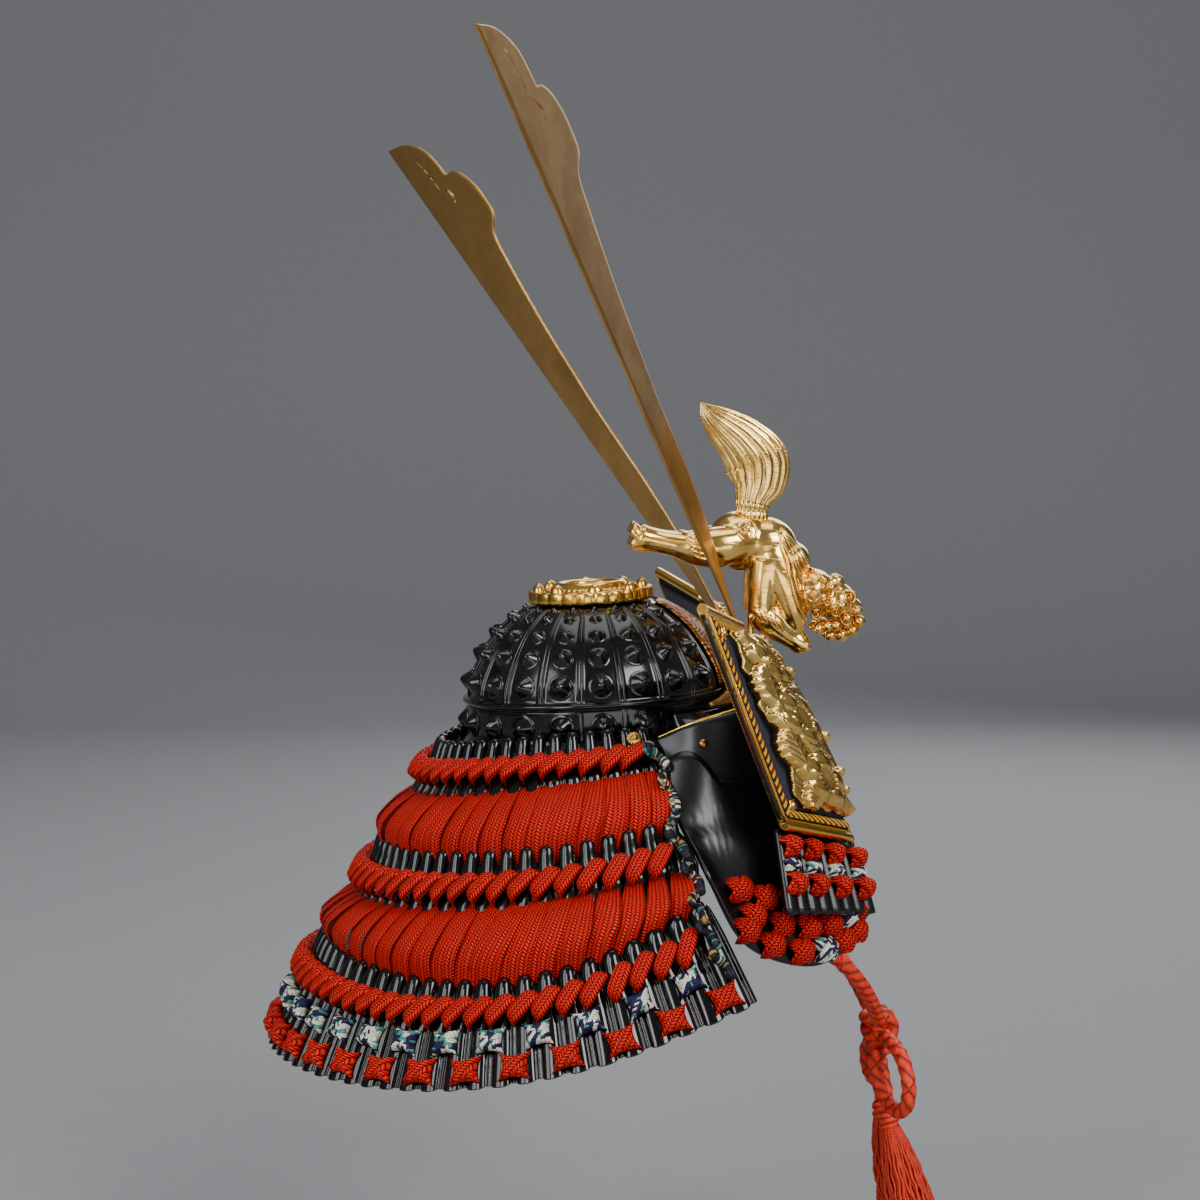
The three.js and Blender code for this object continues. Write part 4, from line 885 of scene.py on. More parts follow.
# ------------------------------------------------------------------ bowl, band and crown
BOWL_PROFILE = np.array([[40.2, 2.0], [40.2, 3.2], [38.9, 3.6], [37.6, 9], [33.8, 16.2], [29, 22.4],
                         [23.6, 26.8], [18.6, 29.6], [7, 30.6]])
BAND_PROFILE = np.array([[43.2, -13.5], [39.4, -7.6], [39.2, 0.9], [39.2, 1.4]])
BOWL_ROWS = [(3.6, 12.7, 3.3, 3.6), (12.7, 19.4, 2.9, 3.4), (19.4, 24.6, 2.3, 2.9), (24.6, 28.1, 1.7, 2.2),
             (28.1, 29.6, 1.1, 1.5)]
BAND_ROWS = [(-7.6, 0.9, 3.5, 3.4)]
PANEL = 2 * np.pi / BOWL_COLUMNS


def radius_at(profile, z):
    """Radius of a profile at a height."""
    return np.interp(z, profile[:, 1], profile[:, 0])


def shell(name, profile, wall_thick, seam, seam_span, nodes):
    """A dome of panels. Round the axis each panel has the same stations, crowded beside its
    borders, where two thin ribs stand: height = seam * exp(-((part - 0.055) / 0.014)^2),
    mirrored at the panel's other border. Inside it is plain."""
    near = np.array([0.0, 0.03, 0.042, 0.055, 0.068, 0.085, 0.15, 0.3])
    part = np.concatenate([near, [0.5], 1 - near[:0:-1]])
    panel, part = np.meshgrid(np.arange(BOWL_COLUMNS), part, indexing="ij")
    angle = ((panel + part - 0.5) * PANEL).ravel()
    beside = np.minimum(part, 1 - part).ravel()
    rib = seam * np.exp(-((beside - 0.055) / 0.014) ** 2)
    fade = np.clip((profile[:, 1] - seam_span[0]) / 0.8, 0, 1)
    fade = fade * np.clip((seam_span[1] - profile[:, 1]) / 1.2, 0, 1)
    outer = polar(profile[:, :1] * 0.996 + rib * fade[:, None], angle[None], profile[:, 1:])
    inner = polar(profile[::-1, :1] - wall_thick, angle[None], profile[::-1, 1:])
    points = np.concatenate([outer, inner])
    arc = np.concatenate([run_lengths(profile), run_lengths(profile)[::-1]])
    uv = np.stack(np.broadcast_arrays(angle[None] * 38, arc[:, None]), -1)
    shape = Shape().add(points, grid_faces(len(points), len(angle), wrap_rows=True, wrap_cols=True), uv)
    return make_piece(name, shape, LACQUER, nodes, lean=True)


def stud_template():
    """A pointed cone with a slightly full flank on a thin raised collar: radius and height
    along it, in stud radii and stud heights, turned round in 16 steps."""
    profile = np.array([(0.0, -0.3), (1.16, -0.3), (1.18, 0.03), (1.08, 0.08), (0.98, 0.07), (0.9, 0.17),
                        (0.68, 0.44), (0.42, 0.74), (0.18, 0.95), (0.0, 1.0)])
    shape = Shape()
    lathe(shape, profile, 16)
    points, faces, uv, _ = shape.arrays()
    return points, faces, uv


def studs(name, profile, rows, last):
    """Studs on every panel of every row, as far round from the rear as the angle last."""
    template, faces, uv = stud_template()
    middle = np.arange(BOWL_COLUMNS) * PANEL
    middle = middle[np.minimum(middle, 2 * np.pi - middle) <= last + 1e-6]
    shape = Shape()
    for low, high, radius, height in rows:
        z = (low + high) / 2
        slope = radius_at(profile, z + 0.5) - radius_at(profile, z - 0.5)
        heart = polar(radius_at(profile, z) * 0.994, middle, z)
        across = polar(1, middle + np.pi / 2, 0)
        up = unit(polar(slope, middle, 1.0))
        stamp(shape, template, faces, heart, across * radius, up * radius,
              np.cross(across, up) * height * 0.86, uv)
    return make_piece(name, shape, LACQUER, lean=True)


def dome_profile():
    """The bowl's profile: the flat lip as drawn, the dome eased through its stations."""
    lip = np.array([[40.0, 2.0], [40.35, 2.2], [40.4, 3.0], [40.1, 3.3], [39.2, 3.45], [38.8, 3.7]])
    return np.concatenate([lip, eased(BOWL_PROFILE[2:8], 28)[1:], [[15, 29.95], [10, 30.4], [7.2, 30.6]]])


shell("bowl_shell", dome_profile(), 1.5, 0.5, (3.6, 29.9), "bowl")
studs("bowl_studs", BOWL_PROFILE, BOWL_ROWS, math.radians(144))
band = np.concatenate([eased(np.concatenate([BAND_PROFILE[:1], [[41.4, -10.2]], BAND_PROFILE[1:2],
                                             [[39.25, -4]], BAND_PROFILE[2:3]]), 21),
                       [[39.1, 1.35], [38.9, 1.4]]])
shell("band_shell", band, 1.3, 0.12, (-7.6, 0.9), "waist_band")
studs("band_studs", BAND_PROFILE, BAND_ROWS, math.radians(108))


def front_plate():
    """The gilt plate over the brow panels: a patch of the dome lifted clear of it, with a
    raised border whose height falls off as a Gaussian of the distance to the edge."""
    z = np.linspace(4.0, 29.3, 46)
    side = np.linspace(-1, 1, 61)
    half = math.radians(25) * (1 - 0.12 * np.clip((z - 18) / 11, 0, 1) ** 2)
    angle = np.pi + side[None] * half[:, None]
    dome = np.array(eased(BOWL_PROFILE[2:8], 60))
    r = np.interp(z, dome[:, 1], dome[:, 0])[:, None]
    edge = np.minimum((1 - np.abs(side))[None] * half[:, None] * r, np.minimum(z - 4, 29.3 - z)[:, None])
    border = 0.35 * np.exp(-((edge - 0.9) / 0.5) ** 2)
    bulge = 1.9 * (1 - side[None] ** 2) * np.sqrt(np.sin(np.pi * (z - 4) / 25.3).clip(0, 1))[:, None]
    outer = polar(r + 1.15 + border + bulge, angle, z[:, None] + 0.6)
    inner = polar(r + 0.7 + bulge, angle, z[:, None] + 0.35)
    uv = np.stack(np.broadcast_arrays(side[None] * half[:, None] * r, z[:, None] * 1.3), -1)
    return make_piece("brow_plate", wall(Shape(), outer, inner, uv), COPPER_GILT, "front_plate",
                      lean=True)


front_plate()


def crown_ring():
    """Open crown ring: flange with petal flutes, a beaded step and a collar, plus eight
    rounded petals. The flange's edge = radius * (1 - 0.03 (1 - |sin(12 angle)|^0.6)), its top
    dips between petals."""
    profile = np.array([(18.3, 30.3), (18.8, 30.5), (18.9, 31.2), (18.9, 33.2), (18.7, 33.7), (18.1, 33.9),
                        (17.2, 33.8), (15.6, 33.5), (14.2, 33.5), (13.4, 33.8), (12.9, 34.2), (12.3, 34.2),
                        (11.8, 34.0), (11.3, 34.5), (10.9, 35.5), (10.2, 36.1), (9.2, 36.2), (8.3, 36.0),
                        (7.8, 35.5), (7.4, 33.6), (7.2, 31.0), (7.8, 30.5), (14, 30.4)])
    turns = 168
    angle = np.linspace(0, 2 * np.pi, turns, endpoint=False)
    petal = np.abs(np.sin(12 * angle))[None] ** 0.6
    outer = np.clip((profile[:, 0] - 13.5) / 4.5, 0, 1)[:, None]
    r = profile[:, :1] * (1 - 0.03 * outer * (1 - petal))
    z = profile[:, 1:] + 0.35 * outer * (petal - 0.6) * (profile[:, 1:] > 32)
    points = polar(r, angle[None], z)
    uv = np.stack(np.broadcast_arrays(angle[None] * 15, run_lengths(profile)[:, None]), -1)
    # Painted shade in the flange's flutes: darker in the dips between its petals.
    dark = 0.7 * outer * (1 - petal) ** 3 * (profile[:, 1:] > 31)
    shape = Shape().add(points, grid_faces(len(profile), turns, wrap_rows=True, wrap_cols=True), uv,
                        dark.ravel())
    spike, bead = Shape(), Shape()
    lathe(spike, [(0, -0.6), (2.2, -0.6), (2.15, 0.7), (1.8, 1.7), (1.3, 2.4), (0.7, 2.85), (0, 3.0)], 14)
    points, faces, uv, _ = spike.arrays()
    at = np.radians(3 + 45 * np.arange(8))
    stamp(shape, points, faces, polar(15.6, at, 33.3), polar(0.85, at, 0), polar(1.1, at + np.pi / 2, 0),
          np.tile([0.0, 0.0, 1.0], (8, 1)), uv)
    lathe(bead, [(0, -0.5), (0.55, -0.4), (0.62, 0.1), (0.4, 0.5), (0, 0.62)], 8)
    points, faces, uv, _ = bead.arrays()
    at = np.linspace(0, 2 * np.pi, 44, endpoint=False)
    stamp(shape, points, faces, polar(12.6, at, 34.05), polar(1, at, 0), polar(1, at + np.pi / 2, 0),
          np.tile([0.0, 0.0, 1.0], (44, 1)), uv)
    return make_piece("crown_fitting", shape, GILT, "crown_ring", lean=True)


crown_ring()


def peak_point(t, out, lift):
    """Peak: reach = 17 (1 - t^4) + 2, falling 9 by its edge in the middle."""
    reach = 17 * (1 - t ** 4) + 2
    fall = 9 * out * (1 - t * t * 0.5)
    return polar(41.2 + reach * out, np.pi + t * math.radians(60), -1.2 - fall + lift)


def peak():
    """The peak plate, and a gilt bead carried along its edge."""
    t, out = np.meshgrid(np.linspace(-1, 1, 81), np.linspace(0, 1, 16), indexing="ij")
    sag = 0.5 * np.sin(np.pi * out)
    plate = wall(Shape(), peak_point(t, out, -sag * 0.4), peak_point(t, out, -1.4 - sag * 0.4))
    make_piece("brow_peak", plate, LACQUER, "peak", lean=True)
    t = np.linspace(-1, 1, 81)
    path = peak_point(t, np.ones(81), -0.7) + polar(1.1, np.pi + t * math.radians(60), 0)
    make_piece("peak_bead", sweep(Shape(), path, 0.75, 12), GILT, "peak_rim", lean=True)


peak()


# ------------------------------------------------------------------ neck guard
LAMES = [
    {"ribs": 34, "head": (47, 45, 14, -15, -7.3, -6.5), "low": (55, 54, 19, -27, -17.5, -15)},
    {"ribs": 42, "head": (65, 66, 21, -44, -34.3, -29.5), "low": (72, 73, 26, -57, -45.5, -40)},
    {"ribs": 52, "head": (82, 84, 27, -70, -60.5, -46.5), "low": (98, 96.5, 39, -101, -86, -71.5)},
]


def edge_row(edge, u, out, lift):
    """One row of points on the neck guard. The plan is a quarter of a superellipse behind the
    bowl's axis and a straight run closing in beside the face; the height is a parabola in Y
    through the rear, side and front heights. u is the part of the plan's length, negative on
    the right; out stands along the plan's normal."""
    rear, half, front, z_rear, z_side, z_front = edge
    a = np.linspace(0, np.pi / 2, 73)
    x = np.concatenate([half * np.sin(a) ** (2 / PLAN_POWER),
                        half - SIDE_TAPER * front * np.arange(1, 9) / 8])
    y = np.concatenate([rear * np.cos(a) ** (2 / PLAN_POWER), -front * np.arange(1, 9) / 8])
    length = run_lengths(np.stack([x, y], -1))
    at = np.abs(u) * length[-1]
    px, py = np.interp(at, length, x), np.interp(at, length, y)
    dx = np.interp(at + 0.6, length, x) - np.interp(at - 0.6, length, x)
    dy = np.interp(at + 0.6, length, y) - np.interp(at - 0.6, length, y)
    size = np.hypot(dx, dy)
    ahead, behind = (z_front - z_side) / front, (z_rear - z_side) / rear
    z = z_side - ahead * py + (behind + ahead) / (rear + front) * py * (py + front)
    side = np.where(u < 0, -1.0, 1.0)
    return np.stack([side * (px - dy / size * out), py + dx / size * out, z + lift], -1)


def lame_points(n, t, u, out=0.0, lift=0.0):
    """Points of a lame: a row for each t from its upper to its lower edge, a column for each u."""
    t = np.atleast_1d(t)
    u, out, lift = (np.broadcast_to(v, (len(t), np.shape(u)[-1])) for v in (u, out, lift))
    head, low = np.array(LAMES[n]["head"]), np.array(LAMES[n]["low"])
    return np.stack([edge_row(head + (low - head) * t[k], u[k], out[k], lift[k]) for k in range(len(t))])


def lame_spots(n, t, u, out=0.0):
    """Single points of a lame with their three directions: towards larger u, up along the
    lame, and outward."""
    t, u = np.broadcast_arrays(np.atleast_1d(t).astype(float), np.atleast_1d(u).astype(float))
    head, low = np.array(LAMES[n]["head"]), np.array(LAMES[n]["low"])

    def at(t, u, out):
        return np.concatenate([edge_row(head + (low - head) * t[k], u[k:k + 1], out, 0.0)
                               for k in range(len(t))])
    du = 0.4 / LAMES[n]["ribs"]
    spot = at(t, u, out)
    along = unit(at(t, u + du, out) - at(t, u - du, out))
    up = at(t - 0.03, u, out) - at(t + 0.03, u, out)
    up = unit(up - along * np.sum(up * along, -1, keepdims=True))
    return spot, along, up, np.cross(up, along)


def lame(n):
    """A lame of scales. Over one scale, counted from the rear forward, a half-round ridge
    takes 0.74 of the pitch, then comes a groove, then a thin ridge. Each ridge ends above in
    a rounded head, and rolls back into the lame's thickness there. Beside
    the face the two upper lames run on down behind the hanging ribbons."""
    ribs = LAMES[n]["ribs"]
    part = np.array([0, 0.015, 0.06, 0.13, 0.24, 0.37, 0.5, 0.61, 0.68, 0.725, 0.74, 0.78, 0.82, 0.845, 0.88,
                     0.915, 0.94])
    scale, part = np.meshgrid(np.arange(ribs // 2), part, indexing="ij")
    forward = ((scale + part) * 2 / ribs).ravel()
    u = np.concatenate([-np.append(forward, 1.0)[:0:-1], np.append(forward, 1.0)])
    part = np.append(part.ravel(), 0.0)
    part = np.concatenate([part[:0:-1], part])
    main = np.sqrt(np.clip(1 - ((part - 0.37) / 0.37) ** 2, 0, 1))
    thin = np.clip(1 - ((part - 0.88) / 0.06) ** 2, 0, 1) ** 0.8
    down = np.concatenate([[0, 0.012, 0.03, 0.055, 0.09, 0.14], np.linspace(0.2, 0.92, 7), [0.97, 0.99, 1.0]])
    roll = np.sqrt(np.clip(1 - (1 - down / 0.09) ** 2, 0, 1)) * (down < 0.09) + (down >= 0.09)
    ridge = 1.5 * main + 0.45 * thin
    out = -0.3 + (ridge + 0.3) * (0.35 + 0.65 * roll)[:, None]
    top = (4.2, 4.4, 2.2)[n]
    crest = np.where(main > 0, top - 2.1 * (1 - main), np.where(thin > 0, thin - 1.4, -1.4))
    lift = np.outer(np.clip(1 - down / 0.4, 0, 1) ** 2,
                    crest) - np.outer(np.clip((down - 0.8) / 0.2, 0, 1) ** 2, 0.45 * main)
    front = np.clip((np.abs(u) - 0.62) / 0.14, 0, 1) * (10.0, 15.0, 0.0)[n]
    tuck = np.outer(np.clip((down - 0.86) / 0.14, 0, 1), front)
    outer = lame_points(n, down, u, out - tuck * 0.16, lift - tuck)
    inner = lame_points(n, down, u, -1.2 - tuck * 0.16, lift * 0.9 - tuck)
    uv = np.stack(np.broadcast_arrays(u[None] * 100, down[:, None] * 14), -1)
    make_piece(f"lame_{n + 1}_scales", wall(Shape(), outer, inner, uv), LACQUER, f"lame_{n + 1}")


def stitch_template(length, width, thick, dip):
    """A flat braid stitch: a flattened oval carried over an arch whose height is
    thick * (1 - s^6) - dip * s^8, with ends that narrow and tuck in."""
    s = np.sin(np.linspace(-np.pi / 2, np.pi / 2, 13))
    ring = np.linspace(0, 2 * np.pi, 12, endpoint=False)
    arch = thick * (1 - s ** 6) * 0.55 - dip * s ** 8
    breadth = width / 2 * np.clip(1 - np.abs(s) ** 4, 0.02, 1) ** 0.5
    across = np.sign(np.cos(ring)) * np.abs(np.cos(ring)) ** 0.75
    x = np.broadcast_to(s[:, None] * length / 2, (13, 12))
    y = breadth[:, None] * across[None]
    z = arch[:, None] + np.sin(ring)[None] * thick * 0.42
    points = np.stack([x, y, z], -1)
    ends = np.repeat(points[[0, -1]].mean(1, keepdims=True), 12, 1)
    points = np.concatenate([ends[:1], points, ends[1:]])
    v = np.concatenate([s[:1], s, s[-1:]])[:, None] * length / 2
    uv = np.stack(np.broadcast_arrays(np.concatenate([across * width / 2])[None] + 20, v + 40), -1)
    return points.reshape(-1, 3), grid_faces(15, 12, wrap_cols=True), uv.reshape(-1, 2)


def lacing_row(n, at, out, length, width, thick, slope):
    """Wrapped lacing: one stitch for each scale, rising the same way all round."""
    ribs = LAMES[n]["ribs"]
    u = -1 + (2 * np.arange(ribs) + 1) / ribs
    u = u[np.abs(u) < 0.962]
    spot, along, up, outward = lame_spots(n, at, u, out)
    jitter = np.radians(slope + chance.normal(0, 2.2, len(u)))[:, None]
    long_way = -along * np.cos(jitter) + up * np.sin(jitter)
    cross_way = np.cross(outward, long_way)
    tip = np.radians(14 + chance.normal(0, 3, len(u)))[:, None]
    wide = cross_way * np.cos(tip) - outward * np.sin(tip)
    high = outward * np.cos(tip) + cross_way * np.sin(tip)
    size = 1 + chance.normal(0, 0.03, len(u))[:, None]
    template, faces, uv = stitch_template(length, width, thick, 1.4)
    shape = Shape()
    stamp(shape, template, faces, spot, long_way * size, wide, high, uv, chance.uniform(0, 1, len(u)))
    make_piece(f"wrapped_lacing_{n + 1}", shape, LACING, f"lacing_row_{n + 1}")


def curtain(number, low, head, count, width, mid_out):
    """Hanging ribbons between two lames. Each ribbon's line comes out from behind the upper
    lame's edge, swells, and goes in behind the lower lame's heads; it is widest in its
    middle, crowned across, and one side lies over its neighbour. Near the face they part."""
    low, head = np.array(low, float), np.array(head, float)
    down = np.linspace(0, 1, 19)
    puff = np.interp(down, [0, 0.08, 0.25, 0.5, 0.7, 0.84, 1], [-1.0, 0.9, 3.4, mid_out, 3.4, 0.8, -1.5])
    puff = np.convolve(np.pad(puff, 1, mode="edge"), [0.25, 0.5, 0.25], "valid")
    lift = np.interp(down, [0, 0.7, 1], [1.4, 0.3, -3.6])
    breadth = np.interp(down, [0, 0.15, 0.45, 0.8, 1], [0.7, 0.84, 1.0, 0.96, 0.84])
    side = np.linspace(-1, 1, 9)
    plan = run_lengths(edge_row((low + head) / 2, np.linspace(0, 1, 200), 0.0, 0.0))[-1]
    shape = Shape()
    for k, u0 in enumerate(np.linspace(-0.95, 0.95, count)):
        near_face = np.clip((abs(u0) - 0.72) / 0.2, 0, 1)
        slant = chance.normal(0.03, 0.008) * (1 - 0.8 * near_face)
        tilt = chance.normal(1.3, 0.35)
        swell = 1 + chance.normal(0, 0.12)
        wide = width * (1 - (0.2, 0.36)[number - 1] * near_face) * (1 + chance.uniform(-0.05, 0.12))
        rows_out, rows_in = [], []
        for i, d in enumerate(down):
            edge = low + (head - low) * d
            u = np.clip(u0 + side * wide * breadth[i] / (2 * plan) + slant * (d - 0.5), -0.99, 0.99)
            out = puff[i] * swell + (1.1 * (1 - side ** 2) - tilt * side) * np.sin(np.pi * np.clip(d, 0.04,
                                                                                                   0.96))
            rows_out.append(edge_row(edge, u, out, lift[i]))
            rows_in.append(edge_row(edge, u, out - 0.95 + 0.65 * side ** 6, lift[i]))
        outer, inner = np.stack(rows_out), np.stack(rows_in)
        length = run_lengths(outer[:, 4])
        uv = np.stack(np.broadcast_arrays(side[None] * wide / 2 + 20 + 9.2 * k, length[:, None]), -1)
        wall(shape, outer, inner, uv, np.full(uv.shape[:2], chance.uniform(0, 1)))
    make_piece(f"ribbon_curtain_{number}", shape, LACING, f"lacing_strips_{number}")


def tie_template(width, height, thick):
    """A cross tie: a cushion whose four corners stand out round waisted sides. Its top is
    thick * (1 - s^6)(1 - t^6), with a ridge along each diagonal, one over the other."""
    s, t = np.meshgrid(np.linspace(-1, 1, 10), np.linspace(-1, 1, 10), indexing="ij")
    x = width / 2 * s * (1 - 0.3 * (1 - t ** 2) ** 0.8)
    y = height / 2 * t * (1 - 0.27 * (1 - s ** 2) ** 0.8)
    round_off = np.sqrt(np.clip((1 - s ** 6) * (1 - t ** 6), 0, 1))
    ridge = np.maximum(0.35 * np.exp(-((s - t) / 0.42) ** 2), 0.6 * np.exp(-((s + t) / 0.42) ** 2))
    top = np.stack([x, y, thick * (0.25 + 0.55 * round_off + 0.4 * ridge * round_off)], -1)
    bottom = np.stack([x * 0.9, y * 0.9, np.full_like(x, -0.5)], -1)
    uv = np.stack([(x + y) * 0.7071 + 20, (y - x) * 0.7071 + 20], -1)
    shape = wall(Shape(), top, bottom, uv)
    points, faces, uv, _ = shape.arrays()
    return points, faces, uv


def knot_template(length, width, thick, angle):
    """A cross tie: two flat stitches laid over each other at plus and minus angle, the upper
    one arched over the lower, so that four corners stand out round waisted sides."""
    base, faces, uv = stitch_template(length, width, thick, 0.9)
    shape = Shape()
    for k, turn in enumerate((-angle, angle)):
        c, s = math.cos(turn), math.sin(turn)
        over = 0.75 * thick * k * np.exp(-(base[:, 0] / (0.32 * length)) ** 2)
        points = np.stack([base[:, 0] * c - base[:, 1] * s, base[:, 0] * s + base[:, 1] * c,
                           base[:, 2] + over], -1)
        shape.add(points, faces, uv + [11 * k, 0])
    points, faces, uv, _ = shape.arrays()
    return points, faces, uv


def cross_knots(name, n, at, shift, out, size, finish, node):
    """A row of cross ties, each over two scales of the lame."""
    u = -1 + 2 / KNOTS * (np.arange(KNOTS) + 0.5 + shift)
    u = u[np.abs(u) < 0.97]
    spot, along, up, outward = lame_spots(n, at, u, out)
    template, faces, uv = tie_template(*size)
    turn = chance.normal(0, 0.05, len(u))[:, None]
    shape = Shape()
    stamp(shape, template, faces, spot, along * np.cos(turn) + up * np.sin(turn),
          up * np.cos(turn) - along * np.sin(turn), outward, uv, chance.uniform(0, 1, len(u)))
    make_piece(name, shape, finish, node)


for n in range(3):
    lame(n)
lacing_row(0, 0.42, 2.6, 10.4, 5.0, 3.4, 35)
lacing_row(1, 0.5, 2.6, 11.2, 5.0, 3.4, 47)
lacing_row(2, 0.25, 2.6, 11.2, 4.9, 3.4, 43)
curtain(1, LAMES[0]["low"], LAMES[1]["head"], 33, 9.7, 4.6)
curtain(2, LAMES[1]["low"], LAMES[2]["head"], 39, 10.3, 4.7)
cross_knots("mixed_cross_knots", 2, 0.55, 0.5, 1.5, (9.0, 7.7, 3.4), MIXED, "knots_multicolour")
cross_knots("red_cross_knots", 2, 0.83, 0.0, 1.5, (9.9, 8.0, 3.6), LACING, "knots_red")


# ------------------------------------------------------------------ turned-back plates
# Lower and upper end of each column of a plate on the left side, from the lame's front edge
# forward, round the bend, and back out to the wing's outer edge.
UPPER_PLATE = np.array([
    [[53.6, -20.4, -16.5], [43.8, -14.9, -6.5]], [[54, -33, -21.5], [48.5, -25, -1.5]],
    [[49.5, -50, -28], [48.5, -38, 2.5]], [[43.5, -65.5, -33], [45.5, -46.5, 6]],
    [[43.2, -68.6, -33.8], [48.5, -39.8, 21]], [[44.6, -70.2, -34], [51, -40, 24]],
    [[47.2, -69.4, -33.6], [53.5, -38.3, 24.8]], [[60, -58.5, -29.5], [66, -31.5, 28.5]],
    [[72, -47.3, -25.5], [78, -25, 32]]])
LOWER_PLATE = np.array([
    [[70.8, -27.6, -41.5], [64, -22.3, -31]], [[69, -38.5, -61], [60, -34, -30]],
    [[62.5, -57, -68.6], [53, -51, -31]], [[53.5, -69.5, -64.5], [46.5, -64.5, -36.5]],
    [[49.5, -74.5, -58], [44, -69.8, -38.2]], [[50.5, -76.2, -55.8], [45, -71.6, -38.4]],
    [[53.5, -75.2, -54.8], [47.8, -71, -37.6]], [[65, -62, -52.5], [57.5, -58.5, -33.4]],
    [[76, -48.8, -50.3], [68, -46.5, -28.8]]])
WING_WIDTH, WING_HEIGHT = 30, 63


def plate_points(plate, side, c, q, lift=0.0):
    """Points of a plate: c counts its columns, q runs from bottom to top along each, and lift
    stands along the normal. Columns between the drawn ones come from an eased run."""
    steps = 24
    count = (len(plate) - 1) * steps + 1
    low, top = eased(plate[:, 0], count), eased(plate[:, 1], count)
    c, q, lift = np.broadcast_arrays(np.asarray(c, float), np.asarray(q, float), np.asarray(lift, float))

    def at(c, q):
        ends = [np.stack([np.interp(c * steps, np.arange(count), line[:, k]) for k in range(3)], -1)
                for line in (low, top)]
        return ends[0] + (ends[1] - ends[0]) * q[..., None]
    last = len(plate) - 1
    along = at(np.minimum(c + 0.15, last), q) - at(np.maximum(c - 0.15, 0), q)
    normal = unit(np.cross(along, at(c, q + 0.1) - at(c, q - 0.1)))
    return (at(c, q) + normal * lift[..., None]) * [side, 1, 1]


def plate_frames(plate, side, c, q, lift):
    """Single points of a plate with their directions: along the columns, up, and outward."""
    spot = plate_points(plate, side, c, q, lift)
    outward = unit(plate_points(plate, side, c, q, np.asarray(lift) + 1.0) - spot)
    up = plate_points(plate, side, c, np.asarray(q) + 0.05, lift) - spot
    up = unit(up - outward * np.sum(up * outward, -1, keepdims=True))
    return spot, np.cross(up, outward), up, outward


def turned_plate(name, side, plate, node, corrugated):
    """A turned-back plate. The lower one is smooth as far as the bend, where it runs up behind
    the upper one. Past the bend it carries a ridge for each scale, ending below in a shallow
    scallop: height = 1.3 * |sin(pi * distance / 4.6)|^0.6."""
    c, q = np.meshgrid(np.linspace(0, 8, 241 if corrugated else 113), np.linspace(0, 1, 17), indexing="ij")
    middle = plate_points(plate, 1, c[:, 0], 0.5)
    run = run_lengths(middle)[:, None]
    shown = np.clip((c - 5.3) / 0.25, 0, 1) if corrugated else np.zeros_like(c)
    ridge = np.abs(np.sin(np.pi * run / 4.6)) ** 0.6 * shown
    rise = 1.3 * (ridge - 0.6 * shown)
    foot = q - 0.045 * ridge * np.clip(1 - q / 0.25, 0, 1)
    if corrugated:
        foot = foot * np.interp(c, [0, 1, 2, 3.4, 4.6, 5.3], [2.6, 1.45, 1.28, 1.2, 1.12, 1.0])
        rise = rise + np.clip(foot - 0.9, 0, 0.25) * 6.0 * (1 - np.clip((c - 4.4) / 0.8, 0, 1))
    soft = 0.35 * np.sin(np.pi * q) * np.sin(np.pi * np.clip(c / 3.4, 0, 1)) * (not corrugated)
    outer = plate_points(plate, side, c, foot, SHEET / 2 + rise - soft)
    inner = plate_points(plate, side, c, foot, -SHEET / 2 + rise - soft)
    uv = np.stack(np.broadcast_arrays(run, q * 40), -1)
    make_piece(name, wall(Shape(), outer, inner, uv), SATIN, node)


def border_line(inset, radius, count=30):
    """A line round the wing's top, outer edge and bottom, at an inset, with rounded corners:
    places (from the outer edge, from the bottom) and the directions inward, in millimetres."""
    turn = np.linspace(0, np.pi / 2, 14)
    r = radius
    top = np.stack([np.linspace(28.8, inset + r, count), np.full(count, WING_HEIGHT - inset)], -1)
    outer = np.stack([np.full(2 * count, inset), np.linspace(WING_HEIGHT - inset - r, inset + r, 2 * count)],
                     -1)
    bottom = np.stack([np.linspace(inset + r, 28.8, count), np.full(count, inset)], -1)
    upper = np.stack([inset + r - r * np.sin(turn), WING_HEIGHT - inset - r + r * np.cos(turn)], -1)
    lower = np.stack([inset + r - r * np.cos(turn), inset + r - r * np.sin(turn)], -1)
    line = np.concatenate([top[:-1], upper[:-1], outer[:-1], lower[:-1], bottom])
    way = unit(np.gradient(line, axis=0))
    return line, np.stack([-way[:, 1], way[:, 0]], -1)


def border_sweep(shape, side, inset, radius, section):
    """A closed section of (inward, lift) points carried along a border line of the wing."""
    line, inward = border_line(inset, radius)
    section = np.asarray(section, float)
    place = line[:, None] + inward[:, None] * section[None, :, :1]
    c = 8 - 2 * place[..., 0] / WING_WIDTH
    points = plate_points(UPPER_PLATE, side, c, place[..., 1] / WING_HEIGHT, section[None, :, 1])
    cols = len(section)
    ends = np.repeat(points[[0, -1]].mean(1, keepdims=True), cols, 1)
    points = np.concatenate([ends[:1], points, ends[1:]])
    run = run_lengths(line)
    run = np.concatenate([run[:1], run, run[-1:]])
    uv = np.stack(np.broadcast_arrays(section[None, :, 0], run[:, None]), -1)
    return shape.add(points, grid_faces(len(points), cols, wrap_cols=True), uv)


def wing_layer(a, b, side, lift):
    """Points of the upper wing at a millimetres from its outer edge and b from its bottom."""
    return plate_points(UPPER_PLATE, side, 8 - 2 * a / WING_WIDTH, b / WING_HEIGHT, lift)


